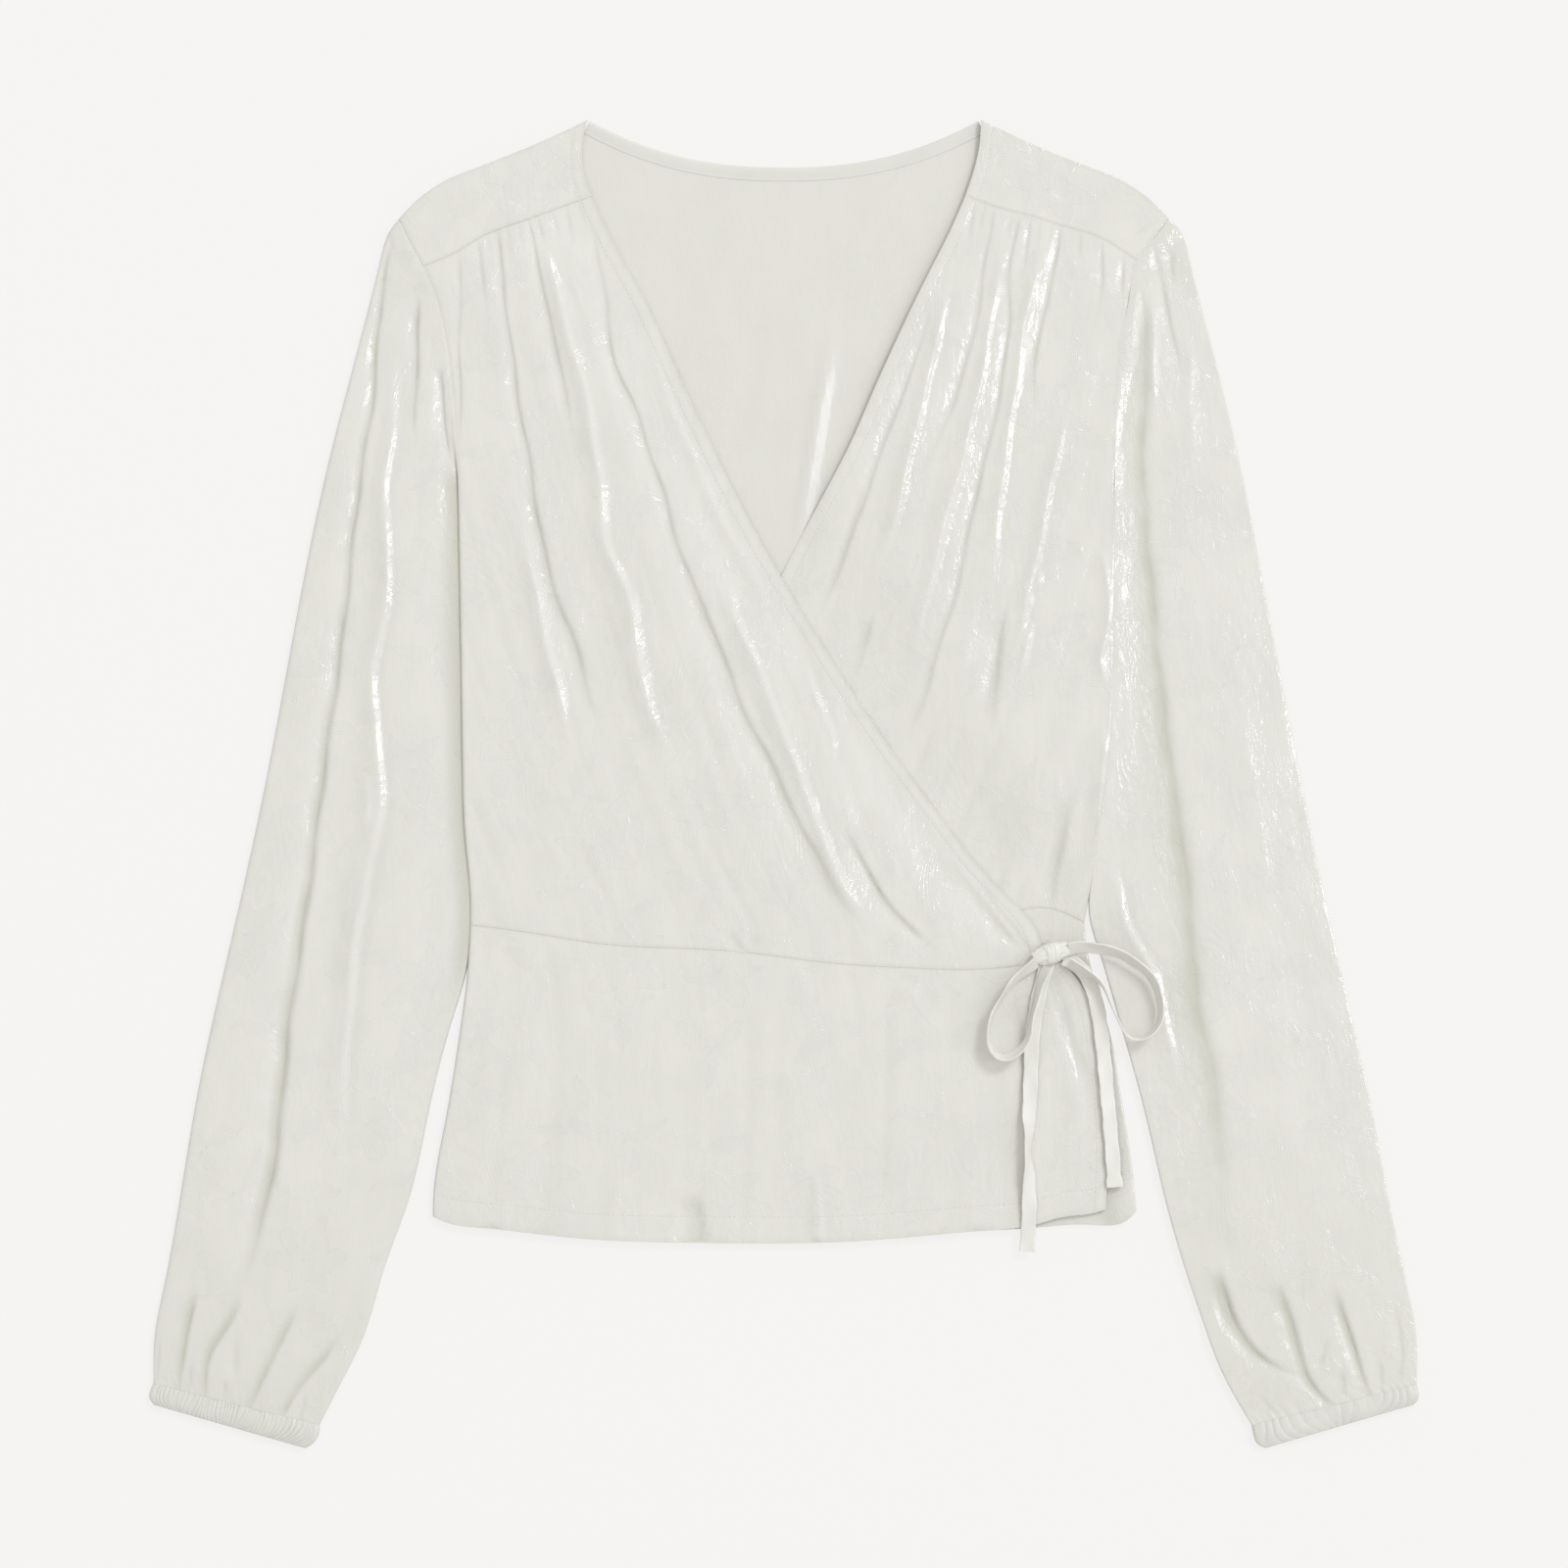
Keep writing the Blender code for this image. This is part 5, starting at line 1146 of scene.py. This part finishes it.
LEFT_SLEEVE_FOLDS = (
    Fold(((181.5, 258), (184, 224.5), (184, 213), (182.5, 183), (183.5, 136), (186, 109), (190, 66),
         (193.5, 34), (202, -28.5), (207, -71.5), (210, -111.5), (216.5, -140), (224, -207), (228.5, -250)),
         (4.6, 7), (0.05, 0.3), -1.1, 0.8),
    Fold(((187.5, 280), (192, 259), (196.5, 239), (203, 200)), (1.6, 3), (0.1, 0.6), -1.1, 1.4),
    Fold(((182, 267), (187, 258)), (1.5, 2), (0.3, 0.5), -0.5, 1.4),
    Fold(((198, 276), (198.5, 252)), (1.8, 2.5), (0.2, 0.5), -0.6, 1.4),
    Fold(((221, -245), (228, -269), (236, -284), (246, -294.5), (257, -300.5), (266, -304)), (5, 3),
         (0.3, 0.2), -2.6, 1.4),
    Fold(((243, -310), (248, -317), (254, -322)), (1.6, 1.6), (0.3, 0.1), -0.6, 1.4),
    Fold(((250, -250), (257.5, -272), (265.5, -297), (274, -312), (281.5, -318.5)), (4.4, 2.4), (0.4, 0.05),
         -2.4, 1.4),
    Fold(((281, -252), (286, -274), (292, -291), (296.5, -304), (301, -315)), (3.4, 2), (0.4, 0.05), -1.9,
         1.4),
    Fold(((279.5, -278), (273, -300)), (1.6, 2), (0.4, 0.3), -0.6, 1.4),
    Fold(((304, -290), (306, -312)), (2, 1.6), (0.4, 0.05), -0.7, 1.4),
    Fold(((284, -296), (286.5, -314)), (3.4, 2.6), (0.4, 0.1), -1, 1.4),
    Fold(((311, -262), (315, -280), (314, -306)), (2, 1.6), (0.5, 0.05), -0.6, 1.4),
    Fold(((188, 250), (188.5, 215), (189, 185)), (2, 3), (0.2, 0.4), 0.88, 0.3),
    Fold(((208, 232), (207, 190), (208, 150)), (3.5, 6), (0.2, 0.6), 0.9),
    Fold(((232, 60), (240, -10), (250, -80)), (8, 10), (0.4, 0.4), 0.5),
    Fold(((164, -36), (171, -55), (176, -75), (187, -95), (194, -120), (202, -160)), (2.6, 3.6), (0.2, 0.3),
         1.02, 0.4),
)


# The elastic's own measures, which the wrist of the sleeve and the cuff share
CUFF_PITCH = (2.0, 5.6)  # between the puckers of the right cuff, and of the left one
PUCKER_SEED = 91


def puckers(along, down, pitch):
    """The small upright puckers that elastic makes: round, with sharp creases between them, in mm."""
    phase = along / pitch + 1.5 * bumps(along, down, 3.1 * pitch, 14.0, PUCKER_SEED)
    deep = 0.27 + 0.2 * bumps(along, down, 1.4 * pitch, 6.0, PUCKER_SEED + 1)
    ribs = np.abs(np.sin(math.pi * phase)) ** 0.7 * deep
    return ribs + 0.12 * bumps(along, down, 9.0, 20.0, PUCKER_SEED + 2) - 0.15


def tube_row(start, end, bulge, height, top_count, bottom_count, rounding=1.0):
    """One ring of a flattened tube, over the top from start to end and back along the floor.

    bulge adds a bend in plan. The first and last points of the top are the rounded edges.
    """
    length = np.linalg.norm(end - start)
    inset, share_up = np.array(ROUNDED).T
    near = inset / length * rounding
    middle = np.linspace(near[-1], 1 - near[-1], top_count - 2 * len(near) + 2)[1:-1]
    across = np.concatenate([near, middle, 1 - near[::-1]])
    share_up = np.concatenate([share_up, np.ones_like(middle), share_up[::-1]])
    plan = start + (end - start) * across[:, None] + bulge(across)
    top = np.column_stack([plan, height(plan[:, 0], plan[:, 1], across) * share_up])
    back = np.linspace(1.0 - 0.9 / length, 0.9 / length, bottom_count)
    plan = start + (end - start) * back[:, None] + bulge(back)
    return np.concatenate([top, np.column_stack([plan, np.full(bottom_count, FLOOR_GAP)])])


def beside_body(y):
    """Between the armpit and the hip, where a sleeve lies against the body's side."""
    return below_armpit(y) * ramp(y, -125.0, -85.0)


def sleeve(name, armhole, outer, inner, folds, seed):
    """A sleeve as rings from the armhole to the cuff; the first follow the armhole's curve."""
    outer_at, inner_at, hole = spline(outer), spline(inner), spline(armhole)
    leftwards = armhole[0][0] > 0
    places = np.linspace(0.0, 1.0, len(RING_PLACES))
    grid = []
    for share in np.interp(np.linspace(0.0, 1.0, SLEEVE_RINGS), places, RING_PLACES):
        start, end = outer_at(share), inner_at(share - INNER_LAG * math.sin(math.pi * share))
        if leftwards:
            start, end = end, start
        length = np.linalg.norm(end - start)
        from_hole, to_cuff = share * SLEEVE_LENGTH, (1.0 - share) * SLEEVE_LENGTH

        def bulge(across):
            down = 1.0 - across if leftwards else across
            straight = hole(0.0) + (hole(1.0) - hole(0.0)) * down[:, None]
            return (hole(down) - straight) * (max(0.0, 1.0 - share / 0.25) ** (2 + 8 * down))[:, None]

        def height(x, y, across):
            level = SLEEVE_EDGE_LEVEL + SLEEVE_CROWN * (1.0 - (2.0 * across - 1.0) ** 2)
            body_level = upper_level(y)
            if leftwards:  # level with the front where they touch
                beside = (1.0 - ramp(across * length, 1.0, 30.0)) * ramp(y, -75.0, -30.0)
                level = level + (body_level - level) * beside
            spread = np.stack([across * length, np.full_like(across, from_hole)], axis=-1)
            level = level + fold_field(x, y, folds) + crumple(spread, seed) * ramp(share, 0.0, 0.02)
            level = body_level + (level - body_level) * ramp(from_hole, 0.0, 14.0) + seamed(from_hole)
            drawn_in = 0.35 + 0.65 * ramp(1.0 - share, 0.0, 0.022)
            level = WRIST_LEVEL + (level - WRIST_LEVEL) * drawn_in
            elastic = puckers(across * length, -to_cuff, CUFF_PITCH[leftwards])
            level = at_least(level + elastic * (1 - ramp(to_cuff, 1.0, 13.0)), SLEEVE_LEAST)
            if leftwards:
                return level
            tucked = (1.0 - ramp((1.0 - across) * length, 5.0, 31.0)) * beside_body(y)
            return at_least(level - 0.7 * tucked, SLEEVE_LEAST)

        grid.append(tube_row(start, end, bulge, height, TUBE_TOP, SLEEVE_UNDER, EDGE_ROUND[leftwards]))
    grid = lipped(lipped(np.array(grid), 0, 0.6, 0.9), -1, 1.2, 0.5)
    grid[..., 2] = np.maximum(grid[..., 2], FLOOR_GAP)

    x, y = grid[..., 0], grid[..., 1]
    # painted shade: darker towards the cuff, and in the folds just above it
    painted_sleeve_shade = 0.13 * ramp(-y, 160.0, 290.0)
    wrist = fold_field(x, y, folds[4:8] if leftwards else folds[3:8])
    painted_sleeve_shade = painted_sleeve_shade + np.clip(wrist * (-0.25 if leftwards else -0.4), 0.0, 0.5)
    if leftwards:  # painted shade along its long fold beside the body, and a little on its head near the shoulder
        painted_sleeve_shade = painted_sleeve_shade + np.clip(-0.9 * fold_field(x, y, folds[:1]), 0.0, 0.8) + 0.2 * ramp(y, 240.0, 262.0)
    else:  # painted shadow of the front's side on its inner edge, which is tucked under it
        side = np.array(RIGHT_SIDE + RIGHT_HIP[1:4])
        beside = x - cubic(-side[:, 1], side[:, 0])(-y)
        painted_sleeve_shade = painted_sleeve_shade + 0.9 * ramp(beside, -11.0, -1.0) * beside_body(y)
    # painted shade on both rounded edges of its top
    count = len(ROUNDED)
    for rim, fall in ((slice(count), (0.5, 0.0)), (slice(TUBE_TOP - count, TUBE_TOP), (0.0, 0.5))):
        painted_sleeve_shade[:, rim] = np.maximum(painted_sleeve_shade[:, rim], np.linspace(*fall, count))
    piece = woven(name + "_cloth", grid, CLOTH_WALL, front_finish, ring=True,
                  grain=-SLEEVE_GRAIN if leftwards else SLEEVE_GRAIN,
                  painted_shade=np.clip(painted_fold_shade(grid) + painted_sleeve_shade, 0.0, 1.0))
    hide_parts(name)


sleeve("right_sleeve", RIGHT_ARMHOLE, RIGHT_SLEEVE_OUTER, RIGHT_SLEEVE_INNER, RIGHT_SLEEVE_FOLDS, 71)
sleeve("left_sleeve", LEFT_ARMHOLE, LEFT_SLEEVE_OUTER, LEFT_SLEEVE_INNER, LEFT_SLEEVE_FOLDS, 81)


# Cuffs. A narrow casing of the sleeve's own satin with elastic inside, which draws it up into fine
# upright puckers all the way round.
CuffRow = namedtuple("CuffRow", "outer_x outer_y inner_x inner_y level")
CUFFS = {
    "right_cuff": (CuffRow(-322, -305.8, -237.2, -326.8, 3.9), CuffRow(-324, -310.6, -237.6, -332.2, 4.5),
                   CuffRow(-323.9, -313.9, -240.3, -336.6, 4.4), CuffRow(-322.2, -316.6, -244, -339, 3.7)),
    "left_cuff": (CuffRow(323, -305.8, 238.6, -326.8, 3.9), CuffRow(324, -310, 239.6, -332.2, 4.5),
                  CuffRow(324, -313.4, 241.3, -336.6, 4.4), CuffRow(322.2, -316.4, 245, -339, 3.7)),
}
CUFF_DEPTH, CUFF_WIDTH, CUFF_WALL = 10.0, 87.0, 0.9
CUFF_RINGS = 17
CUFF_TOP, CUFF_UNDER = 232, 40  # points across its upper side and its underside
CREASE_SHADE_DEPTH = (0.35, 0.7)  # how deep a crease between the puckers is for full painted shade, on the right cuff and on the left one
# The cuff's colours are the sleeve's satin made darker, painted shade over the whole cuff, and the third is
# painted shade in its creases.
CUFF_IVORY = ((0.615, 0.61, 0.575), (0.70, 0.695, 0.655), (0.53, 0.525, 0.47))
cuff_finish = cloth_finish("jacquard_shirred", jacquard, CUFF_IVORY, 0.3)
for node, cuff_rows in CUFFS.items():
    across_rows = cubic(np.linspace(0.0, 1.0, 4), cuff_rows)
    grid = []
    for share in np.linspace(0.0, 1.0, CUFF_RINGS):
        outer_x, outer_y, inner_x, inner_y, level = across_rows(share)
        start, end = np.array([outer_x, outer_y]), np.array([inner_x, inner_y])
        leftwards = outer_x > 0
        if leftwards:
            start, end = end, start

        def ribbed(x, y, across):
            casing = 0.1 + 0.25 * math.sin(math.pi * share)
            inwards = ramp(across, 0.0, 0.04) * ramp(1 - across, 0.0, 0.04)
            elastic = puckers(across * CUFF_WIDTH, share * CUFF_DEPTH, CUFF_PITCH[leftwards])
            return level + casing + elastic * inwards

        grid.append(tube_row(start, end, lambda across: 0.0, ribbed, CUFF_TOP, CUFF_UNDER))
    grid = np.array(grid)
    # painted shade in the creases between the puckers
    piece = woven(node + "_cloth", grid, CUFF_WALL, cuff_finish, ring=True,
                  painted_shade=painted_fold_shade(grid, 4, CREASE_SHADE_DEPTH[leftwards]))
    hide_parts(node)
